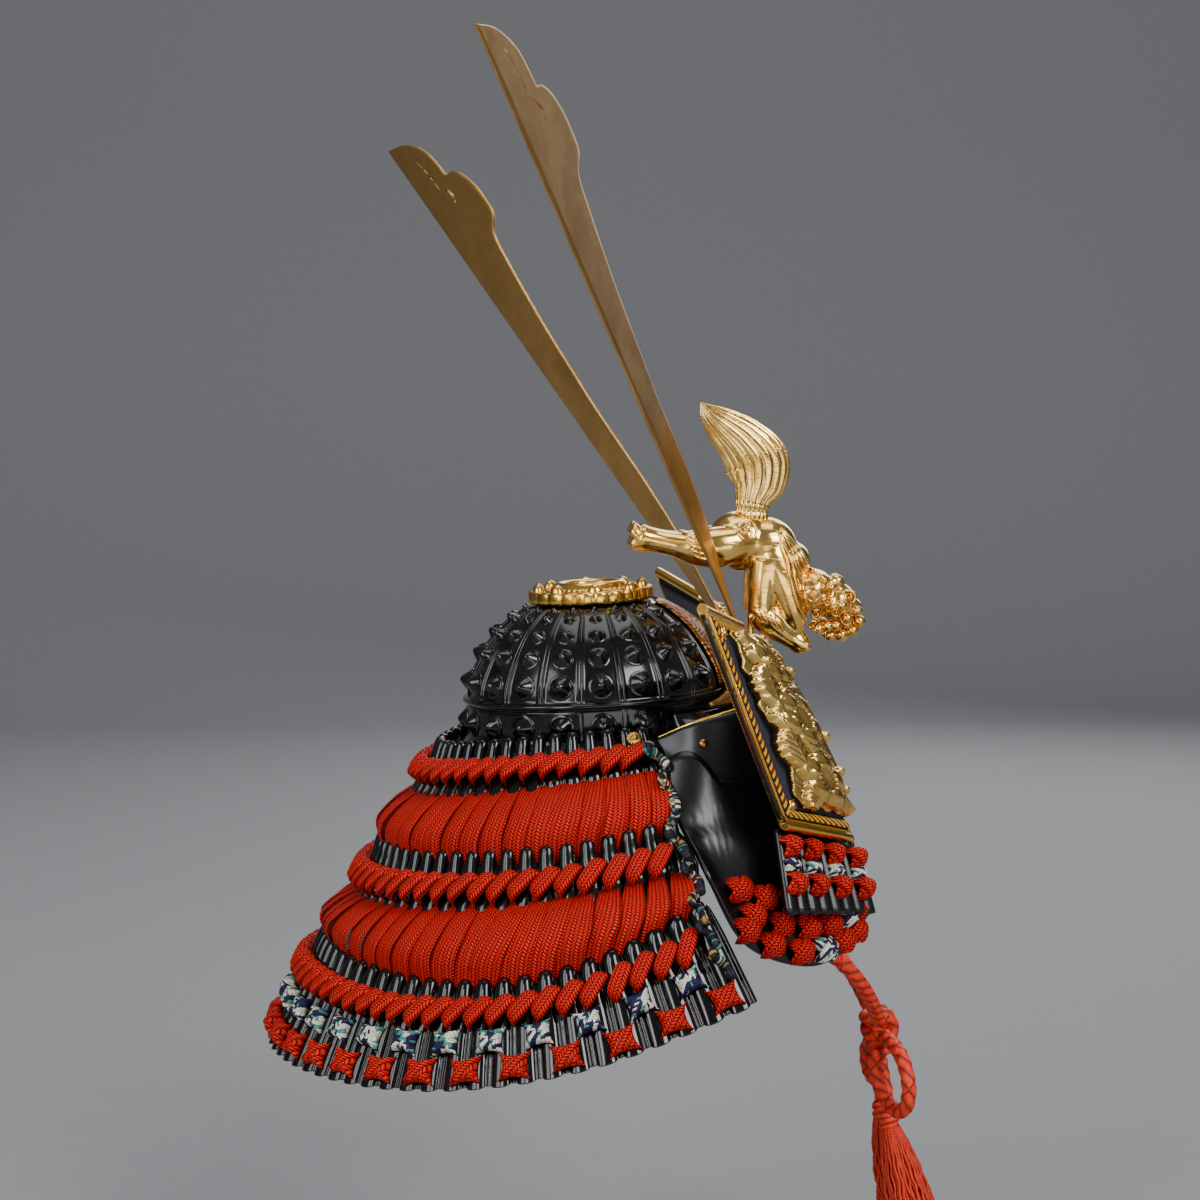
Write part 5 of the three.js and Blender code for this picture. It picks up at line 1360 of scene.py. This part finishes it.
def relief_height(a, b):
    """Height of the embossed plate. The ground is a thin sheet with a waved outline; on it
    lie leaves (pointed ovals with a midrib), blossoms (five broad petals, each a dome, round a
    heart ringed with grains) and buds (small balls). The highest counts, and zero is open."""
    wave = 0.8 * np.sin(b * 0.5) + 0.3 * np.sin(b * 1.15 + 1)
    inside = (a > 7.4 + wave) & (b > 4.6 + 0.5 * np.sin(a * 1.3)) & (b < 58.2 + 0.5 * np.sin(a * 1.6))
    height = np.where(inside, 1.0 + 0.12 * np.sin(a * 2.2 + 1.3 * np.sin(b * 1.1)) * np.sin(b * 1.9), 0)

    def raise_to(value):
        np.maximum(height, value, out=height)
    leaves = ((25.4, 41.6, 6.2, 4.0, 1.2), (25.6, 22.4, 6.2, 4.0, 1.9), (10.8, 41.4, 6.6, 4.2, 1.45),
              (10.8, 22.0, 6.8, 4.3, 1.75), (25.8, 55, 4.6, 3.2, 0.9), (25.0, 7.6, 5.2, 3.4, -0.4),
              (12.4, 55, 4.2, 3.0, 2.3), (12.2, 7.6, 4.8, 3.2, 3.9), (26.2, 32.4, 4.6, 3.4, 1.6),
              (19.4, 40.9, 5.2, 3.2, 0.2), (19.4, 22.1, 5.2, 3.2, 2.9), (10.6, 31.8, 4.6, 3.0, 1.6))
    for x, y, long, wide, turn in leaves:
        u = (a - x) * math.cos(turn) + (b - y) * math.sin(turn)
        v = (b - y) * math.cos(turn) - (a - x) * math.sin(turn)
        tip = np.clip(1 - (u / long) ** 2, 0, 1)
        body = np.clip(1 - (v / (wide * tip ** 0.7 * (1 + 0.07 * np.sin(u * 2.6)) + 1e-3)) ** 2, 0,
                       1) * (tip > 0)
        vein = 0.25 * np.exp(-(v / 0.3) ** 2) + 0.06 * np.sin((np.abs(v) - u * 0.8) * 3.4) * (np.abs(v) > 0.4)
        raise_to(np.where(body > 0, 1.3 + 2.0 * np.sqrt(body) + vein, 0))
    for x, y, r, turn in ((17.6, 50.0, 7.6, 0.3), (17.2, 31.4, 8.4, 0.9), (18.0, 13.2, 8.0, 0.1)):
        for k in range(5):
            angle = turn + 2 * np.pi * k / 5
            px, py = x + 0.56 * r * math.cos(angle), y + 0.56 * r * math.sin(angle)
            far = np.hypot(a - px, b - py) / (0.56 * r)
            lean = ((a - px) * math.cos(angle) + (b - py) * math.sin(angle)) / r
            petal = np.sqrt(np.clip(1 - far ** 2, 0, 1))
            raise_to(np.where(far < 1, 1.2 + 3.0 * petal * (1 + 0.35 * lean) - 0.3 * np.cos(9 * lean)
                              * (far > 0.75), 0))
        rho, phi = np.hypot(a - x, (b - y) * 0.85) / r, np.arctan2(b - y, a - x)
        grains = 0.55 * np.clip(np.cos(16 * phi), 0, 1) * np.exp(-((rho - 0.42) / 0.06) ** 2)
        crown = 2.6 + 0.9 * rho / 0.4 + grains * 1.6 + 0.25 * np.sin(a * 5.5) * np.sin(b * 5.5) * (rho < 0.3)
        height = np.where(rho < 0.48, np.maximum(crown, height * (rho > 0.38)), height)
    for x, y, r in ((26.4, 47.2, 2.0), (12.6, 48.6, 1.8), (26.8, 27.2, 2.1), (12.4, 30.8, 1.7),
                    (26.8, 16.6, 2.0), (12.6, 14.6, 1.8), (24.6, 37.0, 1.5), (27.2, 51.6, 1.5),
                    (27.6, 11.4, 1.6), (24.2, 58.2, 1.3)):
        far = np.hypot(a - x, b - y) / r
        raise_to(np.where(far < 1, 1.4 + 1.9 * r * np.sqrt(np.clip(1 - far ** 2, 0, 1)), 0))
    return height


def wing_relief(name, side):
    """The pierced and embossed plate: a height field over the wing with its ground cut away."""
    a, b = np.meshgrid(np.linspace(5.6, 29.3, 100), np.linspace(3.6, 59.4, 236), indexing="ij")
    height = relief_height(a, b)
    solid = height > 0.35
    kept = solid[:-1, :-1] & solid[1:, :-1] & solid[:-1, 1:] & solid[1:, 1:]
    swell = 4.2 * np.sin(np.pi * np.clip((b - 3.4) / 56.2, 0,
                                         1)) ** 0.6 * np.sin(np.pi * np.clip((a - 6.6) / 25, 0, 1)) ** 0.8
    outer = wing_layer(a, b, side, 2.6 + swell + np.maximum(height, 0.3))
    inner = wing_layer(a, b, side, 2.5 + swell)
    uv = np.stack([a, b], -1)
    # Painted shade: the relief darkens where it lies below its local mean height, in the hollows between
    # leaves, petals and buds, and a little all over.
    near = height
    for axis in (0, 1):
        near = sum(np.roll(near, k, axis) for k in range(-4, 5)) / 9
    dark = np.clip(0.1 + 0.75 * (near - height), 0, 0.8)
    shape = pierced_wall(Shape(), outer, inner, kept, uv, dark)
    rosette = Shape()
    lathe(rosette, [(0, -0.4), (1.5, -0.4), (1.75, 0.2), (1.5, 0.7), (1.05, 0.65), (0.85, 0.75), (0.6, 1.15),
                    (0, 1.3)], 40,
          ripple=lambda turn, k: 1 + 0.13 * np.cos(5 * turn) * ((k > 0) & (k < 5)))
    points, faces, spots, _ = rosette.arrays()
    q = np.array([5.0, 57.6])
    spot, along, up, outward = plate_frames(UPPER_PLATE, side, np.full(2, 8 - 2 * 5.1 / WING_WIDTH),
                                            q / WING_HEIGHT, 2.0)
    stamp(shape, points, faces, spot, along * side, up, outward, spots)
    return make_piece(f"wing_flowers_{name}", shape, PALE_GILT, f"wing_relief_{name}",
                      merge=2e-3)


def wing_dressing(name, side):
    """Rim, tape and cloth of the upper wing, and its relief."""
    ring = np.linspace(0, 2 * np.pi, 14, endpoint=False)
    bead = np.stack([0.45 + 1.75 * np.cos(ring), 0.55 + 1.6 * np.sin(ring)], -1)
    rim = border_sweep(Shape(), side, -1.95, 2.4, bead)
    border_sweep(rim, side, -0.1, 1.8, [[0, 1.0], [0, 1.75], [0.4, 1.85], [0.9, 1.75], [0.9, 1.0]])
    make_piece(f"wing_bead_{name}", rim, GILT, f"wing_rim_{name}")
    tape = border_sweep(Shape(), side, 0.9, 1.2, [[0, 1.5], [0, 2.05], [0.5, 2.4], [1.3, 2.5], [2.1, 2.4],
                                                  [2.6, 2.05], [2.6, 1.5]])
    make_piece(f"wing_braid_tape_{name}", tape, TAPE, f"wing_tape_{name}")
    a, b = np.meshgrid(np.linspace(3.7, 29.4, 40), np.linspace(4.2, 58.6, 76), indexing="ij")
    puff = 0.22 * (np.sin(np.pi * (a - 3.7) / 25.7) * np.sin(np.pi * (b - 4.2) / 54.4)) ** 0.5
    cloth = wall(Shape(), wing_layer(a, b, side, 1.75 + puff), wing_layer(a, b, side, 1.4),
                 np.stack([a, b], -1))
    piece = make_piece(f"wing_twill_{name}", cloth, CLOTH, f"wing_cloth_{name}")
    wing_relief(name, side)
    c = np.linspace(0.05, 4.0, 70)
    line = plate_points(UPPER_PLATE, side, c, 1.0, 0.0) + [0, 0, 0.25]
    make_piece(f"plate_edge_bead_{name}", sweep(Shape(), line, 0.5, 10), GILT)


def small_ties(name, side, c, q, lift, size, finish, node):
    """A row of cross ties on the outer face of the lower turned-back plate."""
    spot, along, up, outward = plate_frames(LOWER_PLATE, side, c, q, lift)
    template, faces, uv = knot_template(*size)
    turn = chance.normal(0, 0.12, len(spot))[:, None]
    shape = Shape()
    stamp(shape, template, faces, spot, along * side + up * turn, up - along * side * turn, outward, uv,
          chance.uniform(0, 1, len(spot)))
    return make_piece(name, shape, finish, node)


def lower_dressing(name, side):
    """Three rows of ties on the lower wing and the laced hollow behind it."""
    rows = (("top", 0.8, (7.0, 4.0, 2.9, 0.95), LACING, "red_lacing"),
            ("middle", 0.56, (5.8, 2.6, 1.9, 0.5), MIXED, "mixed_lacing"),
            ("bottom", 0.33, (7.0, 4.0, 2.9, 0.95), LACING, "red_lacing"))
    for row, q, size, finish, slot in rows:
        c = np.array([7.82, 7.28, 6.73, 6.2])
        small_ties(f"wing_ties_{row}_{name}", side, c, np.full(4, q), 1.2, size, finish,
                   f"lower_wing_knots_{row}_{name}")
    c, q = np.meshgrid(np.linspace(0.95, 3.15, 6), np.array([0.1, 0.28, 0.46]))
    c = c + 0.2 * (np.arange(3) % 2)[:, None]
    spot, along, up, outward = plate_frames(LOWER_PLATE, side, c.ravel(), q.ravel(), -1.5)
    template, faces, uv = knot_template(8.8, 4.6, 3.0, 0.8)
    mixed = (np.arange(c.size) % 7 == 3)
    for label, pick, finish, node, slot in ((f"hollow_ties_{name}", ~mixed, LACING, f"hollow_lacing_{name}",
                                             "red_lacing"),
                                            (f"hollow_mixed_ties_{name}", mixed, MIXED, (), "mixed_lacing")):
        shape = Shape()
        stamp(shape, template, faces, spot[pick], along[pick] * side, up[pick], -outward[pick], uv,
              chance.uniform(0, 1, pick.sum()))
        make_piece(label, shape, finish, node)


def edge_lacing(name, side):
    """Flat braid laced down the lames' front edges: it weaves in and out as it goes."""
    stops = [[0, 0.05], [0, 1], [1, 0], [1, 1], [2, 0], [2, 0.3], [2, 0.66]]
    points = np.concatenate([lame_spots(n, t, side * 0.975, 5.0)[0] for n, t in stops])
    line = eased(points, 150)
    turn = np.linspace(0, 2 * np.pi * 7, 150)[:, None]
    weave = 1.5 * np.sin(turn) * np.array([0.0, 1.0, 0.3])
    weave = weave - 1.6 * np.cos(2 * turn) * np.array([side * 1.0, 0.2, 0])
    shape = sweep(Shape(), line + weave, 1.45 + 0.2 * np.sin(np.linspace(0, 2 * np.pi * 22, 150)), 12,
                  flat=0.7)
    make_piece(f"edge_braid_{name}", shape, DARK_MIXED, f"front_lacing_{name}")


def rivets(name, side):
    """A chrysanthemum rivet with 16 petals on the upper lame and a plain one on the plate."""
    foot = lame_spots(0, 0.02, side * 0.93, 2.2)[0][0] + [0, 0, 0.9]
    axis = unit(np.array([side, -0.15, 0.8]))
    across = unit(np.cross(axis, [0, 1.0, 0]))

    def stand(foot, axis, across):
        return lambda p: foot + p[..., :1] * across + p[..., 1:2] * np.cross(axis, across) + p[..., 2:] * axis
    profile = [(0, 0), (2.2, 0), (2.35, 0.3), (2.1, 0.8), (1.5, 1.15), (1.0, 1.1), (0.85, 1.2), (0.8, 1.6),
               (0.4, 1.8), (0, 1.85)]
    petal = lambda a, k: 1 + 0.07 * np.cos(16 * a) * ((k > 0) & (k < 5))
    make_piece(f"flower_rivet_{name}", lathe(Shape(), profile, 96, stand(foot, axis, across), petal),
               SOCKET_BRASS, f"chrysanthemum_rivet_{name}")
    spot = plate_points(UPPER_PLATE, side, 1.05, 0.72, -SHEET / 2 - 0.35)
    axis = unit(plate_points(UPPER_PLATE, side, 1.05, 0.72, -2.0) - spot)
    across = unit(np.cross(axis, [0, 0, 1.0]))
    profile = [(0, 0), (1.3, 0), (1.35, 0.25), (1.1, 0.6), (0.7, 0.85), (0.3, 0.97), (0, 1.0)]
    make_piece(f"plate_rivet_{name}", lathe(Shape(), profile, 24, stand(spot, axis, across)), COPPER,
               f"copper_rivet_{name}")


for name, side in SIDES:
    turned_plate(f"upper_turn_back_{name}", side, UPPER_PLATE, f"turn_back_upper_{name}", False)
    turned_plate(f"lower_turn_back_{name}", side, LOWER_PLATE, f"turn_back_lower_{name}", True)
    wing_dressing(name, side)
    lower_dressing(name, side)
    edge_lacing(name, side)
    rivets(name, side)


# ------------------------------------------------------------------ horns and socket
HORN_STATIONS = [[0, 4.5], [12, 5.5], [22, 7.5], [32, 9.2], [46, 11.2], [66, 11.6], [97, 12.4], [112, 13.6],
                 [128, 15], [143, 17], [155, 19], [165, 21.4], [169, 27.2], [175, 28.2], [182, 27.6],
                 [189, 25], [193, 21.6], [194.5, 18.8], [200, 18.2], [206, 17], [212, 13.8], [218, 8.4],
                 [223.5, 0]]
HORN_FOOT = np.array([6.5, -47.6, 8])
HORN_TIPS = {"right": np.array([-115.0, 37, 186]), "left": np.array([107.0, 66, 176])}


def horn(name, side):
    """A horn blade. Rows run up the blade, columns from its straight outer edge to its shaped
    inner one; two of the columns part round a crescent slit. Both faces round over within
    0.9 mm of an edge, and the foot is turned about the blade's length."""
    foot = HORN_FOOT * [side, 1, 1]
    long_way = unit(HORN_TIPS[name] - foot)
    wide = np.array([side * 0.8, 0.3, 0.0])
    wide[2] = -(long_way[0] * wide[0] + long_way[1] * wide[1]) / long_way[2]
    wide = unit(wide)
    outline = eased(HORN_STATIONS, 240)
    along, width = np.maximum.accumulate(outline[:, 0]), np.maximum(outline[:, 1], 0.02)
    width[-1] = 0.02
    slit = np.clip((along - 185.6) / 6.8, 0, 1)
    mid = np.interp(along, [186, 192.4], [14.7, 17.0])
    mid = np.minimum(mid, width * 0.62)
    gap = 0.75 * np.sin(np.pi * slit) ** 0.7
    part = np.linspace(0, 1, 9)
    part = np.concatenate([[0, 0.03], part[1:-1], [0.97, 1]])
    left = (mid - gap)[:, None] * part[None]
    right = (mid + gap)[:, None] + (width - mid - gap)[:, None] * part[None]
    x = np.concatenate([left, right], 1)
    edge = np.minimum(x, width[:, None] - x)
    top = (along[-1] - along)[:, None] * 0.4 + 0.05
    half = 0.5 * np.sqrt(np.clip(1 - (1 - np.clip(np.minimum(edge, top) / 0.9, 0, 1)) ** 2, 0.06, 1))
    turn = 0.55 * np.clip(1 - (along - 8) / 62, 0, 1) ** 1.5 * side
    middle = -width[:, None] / 2 * 0.5
    u, v = -x - middle, np.zeros_like(x)
    c, s = np.cos(turn)[:, None], np.sin(turn)[:, None]
    normal = np.cross(wide, long_way)

    def face(sign):
        a, b = u, v + sign * half
        flat = (a * c - b * s + middle)[..., None] * wide + (a * s + b * c)[..., None] * normal
        return foot + flat + along[:, None, None] * long_way
    kept = np.ones((len(along) - 1, x.shape[1] - 1), bool)
    kept[(gap[1:] > 0) | (gap[:-1] > 0), len(part) - 1] = False
    uv = np.stack(np.broadcast_arrays(x, along[:, None]), -1)
    piece = make_piece(f"horn_blade_{name}", pierced_wall(Shape(), face(1), face(-1), kept, uv), BRASS,
                       f"horn_{name}", merge=2e-3)
    return sharpen(piece, 50)


def soft_box(shape, center, half, rounding=3.5, count=26):
    """A block with rounded edges: a sphere's directions pushed out to a superellipsoid of
    high power."""
    polar_angle, azimuth = np.meshgrid(np.linspace(0, np.pi, count),
                                       np.linspace(0, 2 * np.pi, 2 * count, endpoint=False), indexing="ij")
    way = np.stack([np.sin(polar_angle) * np.cos(azimuth), np.sin(polar_angle) * np.sin(azimuth),
                    np.cos(polar_angle)], -1)
    power = 2.0 * rounding
    reach = np.sum(np.abs(way / np.asarray(half)) ** power, -1, keepdims=True) ** (-1 / power)
    return shape.add(np.asarray(center) + way * reach, grid_faces(count, 2 * count, wrap_cols=True))


def horn_socket():
    """Crescent over the brow, raised in its middle with a rolled border, and the block that
    the horns and the crest stand in."""
    t, a = np.meshgrid(np.linspace(0, 1, 22), np.linspace(-1, 1, 121), indexing="ij")
    top = 2.2 + 8.5 * np.cos(a * 1.45) ** 2
    z = 0.8 + (top - 0.8) * t
    edge = np.minimum(top - z, z - 0.8)
    border = 0.45 * np.exp(-((edge - 0.8) / 0.5) ** 2)
    scroll = 0.18 * np.sin(14 * a + 3 * t) * np.sin(9 * t) * (edge > 1.4)
    angle = np.pi + a * math.radians(42)
    shape = wall(Shape(), polar(43.4 + border + scroll, angle, z), polar(42.0, angle, z),
                 np.stack([a * 30, z], -1), np.clip(0.5 - 4 * border, 0, 0.4))
    soft_box(shape, (0, -46.6, 6.2), (12, 3.5, 5.5), 4)
    make_piece("horn_holder", shape, SOCKET_BRASS, "horn_socket")


for name, side in SIDES:
    horn(name, side)
horn_socket()


def cord_ring(name, side):
    """The ring that the chin cord starts from: a circle carried round a circle."""
    angle = np.linspace(0, 2 * np.pi, 36, endpoint=False)
    x, y = 2.8 * np.cos(angle), np.zeros(36)
    c, s = math.cos(side * 0.4), math.sin(side * 0.4)
    path = np.stack([x * c - 2.8 * np.sin(angle) * s, x * s + 2.8 * np.sin(angle) * c, y],
                    -1) + [side * 31.4, -14.6, -10.6]
    make_piece(f"strap_ring_{name}", sweep(Shape(), path, 0.8, 12, closed=True), SOCKET_BRASS,
               f"cord_ring_{name}")


for name, side in SIDES:
    cord_ring(name, side)


# ------------------------------------------------------------------ lion crest
def ellipsoid(shape, center, radii, tilt=0.0, count=28):
    """A ball stretched by three radii and tipped forward about X."""
    a, b = np.meshgrid(np.linspace(0, np.pi, count), np.linspace(0, 2 * np.pi, 2 * count, endpoint=False),
                       indexing="ij")
    points = np.stack([np.sin(a) * np.cos(b), np.sin(a) * np.sin(b), np.cos(a)], -1) * radii
    c, s = math.cos(tilt), math.sin(tilt)
    x, y, z = np.moveaxis(points, -1, 0)
    points = np.stack([x, y * c - z * s, y * s + z * c], -1) + center
    return shape.add(points, grid_faces(count, 2 * count, wrap_cols=True))


def limb(shape, stops):
    """A limb through (x, y, z, radius) stops, eased between them."""
    line = eased(stops, 48)
    return sweep(shape, line[:, :3], np.maximum(line[:, 3], 0.05), 20)


def cast(name, shape, voxel, smooth, finish, node=()):
    """Melts overlapping forms into one skin, as a casting: a voxel remesh, then smoothing."""
    points, faces, _, _ = shape.arrays()
    mesh = bpy.data.meshes.new(name + "_rough")
    quads = [tuple(dict.fromkeys(face)) for face in faces.tolist()]
    mesh.from_pydata(frame_points(points).tolist(), [], [face for face in quads if len(face) > 2])
    rough = bpy.data.objects.new(name + "_rough", mesh)
    bpy.context.scene.collection.objects.link(rough)
    melt = rough.modifiers.new("melt", "REMESH")
    melt.mode, melt.voxel_size, melt.use_smooth_shade = "VOXEL", voxel / 1000, True
    ease = rough.modifiers.new("ease", "SMOOTH")
    ease.factor, ease.iterations = 0.5, smooth
    skin = bpy.data.meshes.new_from_object(rough.evaluated_get(bpy.context.evaluated_depsgraph_get()))
    bpy.data.objects.remove(rough)
    skin.name = name
    return dress(bpy.data.objects.new(name, skin), finish, node)


def lion_tail():
    """Flame tail: an oval carried up a bent line, its width swelling and closing to a point,
    with lengthwise flutes: radius * (1 - 0.15 (1 - |sin 9 angle|)^2)."""
    stops = np.array([[-46.9, 53.5, 5.2], [-47, 57.5, 4.8], [-47.6, 61, 6.0], [-48.9, 65.6, 8.7],
                      [-48.3, 71.8, 9.9], [-44, 77.5, 8.2], [-38.9, 82, 6.2], [-34.2, 86.2, 3.4],
                      [-31.4, 89.6, 0.2]])
    line = eased(stops, 80)
    way = unit(np.gradient(line[:, :2], axis=0))
    across = np.stack([-way[:, 1], way[:, 0]], -1)
    angle = np.linspace(0, 2 * np.pi, 144, endpoint=False)
    t = np.linspace(0, 1, 80)
    collar = 1 + 0.07 * np.exp(-((t - 0.165) / 0.02) ** 2) + 0.06 * np.exp(-((t - 0.07) / 0.02) ** 2)
    flute = 1 - 0.15 * (1 - np.abs(np.sin(9 * angle[None] + 0.6 * np.sin(2 * np.pi * t)[:, None]))) ** 2
    wide = line[:, 2:3] * np.cos(angle)[None] * flute * collar[:, None]
    thick = np.interp(t, [0, 0.12, 0.3, 0.5, 0.8, 1], [4.2, 3.6, 3.4, 3.3, 2.0, 0.15]) * collar
    thick = thick[:, None] * np.sin(angle)[None] * flute
    points = np.stack([thick, line[:, :1] + across[:, :1] * wide, line[:, 1:2] + across[:, 1:] * wide], -1)
    ends = np.repeat(points[[0, -1]].mean(1, keepdims=True), 144, 1)
    points = np.concatenate([ends[:1], points, ends[1:]])
    # Painted shade: darker where the flutes' grooves lie.
    dark = np.clip((1 - np.abs(np.sin(9 * angle))) ** 3, 0, 1)[None] * np.ones((82, 1)) * 0.8
    return Shape().add(points, grid_faces(82, 144, wrap_cols=True), None, dark.ravel())


# Body of the leaping lion: each ball's centre, radii and tip, then each leg's stops (x, y, z, radius).
LION_BALLS = [((0, -43.8, 48.0), (8.6, 10.2, 9.0), 0.2), ((0, -51.6, 46.2), (8.6, 9.4, 8.9), 0.5),
              ((0, -57.4, 40.6), (8.6, 6.6, 8.0), 0.8), ((0, -65.2, 32.8), (8.4, 6.6, 7.0), 0.8),
              ((0, -73, 29.4), (6.6, 5.4, 6.0), 0.6), ((0, -77.2, 27.6), (4.8, 3.6, 3.4), 0.4),
              ((0, -75.6, 22.8), (3.8, 3.4, 2.2), 0.4)]
LION_LEGS = [[(3.4, -47, 48, 3.6), (4.8, -42, 47.6, 5.4), (5.2, -36, 46.4, 6.2), (5.3, -29.6, 46.0, 5.2),
              (5.2, -23.4, 47.2, 3.7), (5.1, -17.4, 48.4, 3.5), (5, -13.2, 49.2, 4.2)],
             [(3.6, -52.6, 44.4, 5.6), (4.6, -55.4, 37.4, 5.6), (5.4, -57.6, 30.6, 4.9),
              (5.6, -59, 25.6, 4.2), (5.2, -59.6, 22.6, 3.0)],
             [(4.4, -50.8, 42, 5.2), (5, -50, 36, 4.9), (5.3, -49.6, 31, 4.5), (5.3, -49.2, 26.6, 4.4)],
             [(5.3, -48.8, 27, 4.2), (5.4, -51.6, 24.4, 4.6), (5.3, -55.4, 21.4, 3.9), (5, -59, 18.8, 3.3),
              (5, -60.8, 17.8, 3.4)]]


def lion_flank(y, z):
    """How far out from the middle the balls and legs reach at each (y, z): the largest
    x + rx * sqrt(1 - u^2 - v^2) of all of them."""
    balls = [(*center, *radii, tilt) for center, radii, tilt in LION_BALLS]
    legs = [(x, b, c, r, r, r, 0) for stops in LION_LEGS for x, b, c, r in eased(stops, 30).tolist()]
    cx, cy, cz, rx, ry, rz, tilt = np.array(balls + legs).T
    dy, dz = y[..., None] - cy, z[..., None] - cz
    along, above = dy * np.cos(tilt) + dz * np.sin(tilt), dz * np.cos(tilt) - dy * np.sin(tilt)
    room = 1 - (along / ry) ** 2 - (above / rz) ** 2
    return np.where(room > 0, cx + rx * np.sqrt(np.maximum(room, 0)), 0).max(-1)


def on_flank(side, y, z, lift):
    """Points laid on the lion's side."""
    return np.stack([side * (lion_flank(y, z) + lift), y, z], -1)


def curl(shape, side, y, z, radius, thick):
    """A raised spiral on the side: radius * (1 - 0.86 t) at angle 3.8 pi t, round a bead."""
    t = np.linspace(0, 1, 60)
    angle, r = 3.8 * np.pi * t + 0.6, radius * (1 - 0.86 * t)
    middle = lion_flank(np.array([y]), np.array([z]))[0]
    path = on_flank(side, y + r * np.cos(angle), z + r * np.sin(angle), 0.1)
    path[:, 0] = side * np.maximum(side * path[:, 0], middle - 0.6)
    sweep(shape, path, thick * (1 - 0.3 * t), 10)
    ellipsoid(shape, (side * (middle + 0.2), y, z), (0.9, radius * 0.24, radius * 0.24), 0, 12)


def mane(locks, side):
    """Six long locks fanned between the ridge of the neck and the edge of the shoulder,
    with a slow wave along each."""
    ridge = eased([(-55, 52.2), (-58.7, 48.2), (-61.2, 44.6), (-63.4, 41), (-66, 38.4), (-68.4, 36.6),
                   (-70.6, 34.6)], 50)
    edge = eased([(-54.8, 50.4), (-55, 46.6), (-56.9, 42), (-57.9, 37), (-58.8, 32), (-60.4, 27.4),
                  (-63.4, 24)], 50)
    t = np.linspace(0, 1, 50)
    for f in np.linspace(0, 1, 6):
        line = ridge * (1 - f) + edge * f
        line = line + 0.4 * np.sin(2 * np.pi * (1.3 * t + 1.7 * f))[:, None] * np.array([0.8, 0.5])
        line = line[:int(50 - 17 * math.sin(math.pi * f))]
        s = np.linspace(0, 1, len(line))
        swell = np.sin(np.pi * np.clip(0.06 + 0.9 * s, 0, 1)) ** 0.5
        sweep(locks, on_flank(side, line[:, 0], line[:, 1], 0.3), 0.62 * swell + 0.06, 10)


def lion():
    """The leaping lion: torso, neck and head melted with four legs, then the mane's locks,
    curls and beads."""
    form = Shape()
    for center, radii, tilt in LION_BALLS:
        ellipsoid(form, center, radii, tilt)
    soft_box(form, (0, -46.6, 24), (2, 1, 19), 4)
    for side in (-1, 1):
        for stops in LION_LEGS:
            limb(form, [(side * x, y, z, r) for x, y, z, r in stops])
        ellipsoid(form, (side * 5, -11.9, 49.6), (3.7, 1.9, 4.5), -0.15)
        for k in (-1, 0, 1):
            ellipsoid(form, (side * 5 + 2.2 * k, -11.1, 47.2 + 0.3 * abs(k)), (1.25, 1.5, 1.7), 0.2)
            ellipsoid(form, (side * 5 + 2.2 * k, -10.9, 51.6 - 0.5 * abs(k)), (1.15, 1.3, 1.5), 0.2)
            ellipsoid(form, (side * 5 + 2.1 * k, -62.6, 16.8 - 0.3 * abs(k)), (1.2, 1.9, 1.7), 0.5)
        ellipsoid(form, (side * 5.2, -59.8, 23.2), (3.6, 2.9, 2.9), 0.5)
        ellipsoid(form, (side * 5, -61, 17.4), (3.4, 3.0, 3.3), 0.5)
        ellipsoid(form, (side * 3.0, -72.6, 35.8), (2.0, 2.2, 2.3))
        ellipsoid(form, (side * 2.9, -76.6, 31.6), (1.4, 1.3, 1.2))
    cast("lion_body", form, 0.54, 7, PALE_GILT, "lion_crest")
    make_piece("lion_tail", lion_tail(), PALE_GILT)
    locks = Shape()
    for side in (-1, 1):
        mane(locks, side)
        for y, z, r in ((-64.4, 32, 2.6), (-69, 30.2, 1.9), (-75.9, 31.0, 2.4), (-66.6, 25.6, 1.9),
                        (-71.9, 26.8, 1.8)):
            curl(locks, side, y, z, r, 0.52)
        for y, z, r, x in ((-79.4, 23.6, 2.0, 2.4), (-77.4, 20.9, 1.9, 2.2), (-74, 19.6, 2.0, 3.0),
                           (-72, 22.6, 1.7, 5.6), (-69.4, 22.6, 1.6, 6.6), (-75.4, 24.8, 1.7, 5.2),
                           (-70.6, 19.6, 1.7, 4.2), (-66.6, 21.8, 1.5, 6.2), (-78.6, 27.0, 1.6, 4.0),
                           (-73.6, 28.8, 1.5, 6.6), (-70.4, 34.2, 1.3, 6.2), (-67.6, 34.4, 1.2, 7.4)):
            ellipsoid(locks, (side * x, y, z), (r, r, r), 0, 14)
        t = np.linspace(0, 1, 12)
        for k in range(5):
            y, z = -31.4 + 0.9 * k, 43.2 + 1.7 * k
            sweep(locks, on_flank(side, y + 5 * (t - 0.5), z + 1.8 * (t - 0.5), 0.1),
                  0.75 * np.sin(np.pi * (0.1 + 0.8 * t)), 8)
            y, z = -48 - 1.6 * k, 26.8 - 0.8 * k
            sweep(locks, on_flank(side, y - 2.4 * (t - 0.5), z - 4.6 * (t - 0.5), 0.1),
                  0.75 * np.sin(np.pi * (0.1 + 0.8 * t)), 8)
        ring = np.linspace(0, 2 * np.pi * 1.02, 40)
        sweep(locks, on_flank(side, -44.8 + 2.9 * np.cos(ring), 51.6 + 2.9 * np.sin(ring), 0.05),
              np.full(40, 0.42), 10)
        t = np.linspace(0, 1, 24)
        for k in range(3):
            angle = 2 * np.pi * k / 3 + 2.2 * t
            sweep(locks, on_flank(side, -44.8 + 2.1 * t * np.cos(angle), 51.6 + 2.1 * t * np.sin(angle),
                                  0.1), 0.68 * (1 - 0.6 * t), 8)
    make_piece("lion_mane", locks, PALE_GILT, merge=1e-4)


lion()
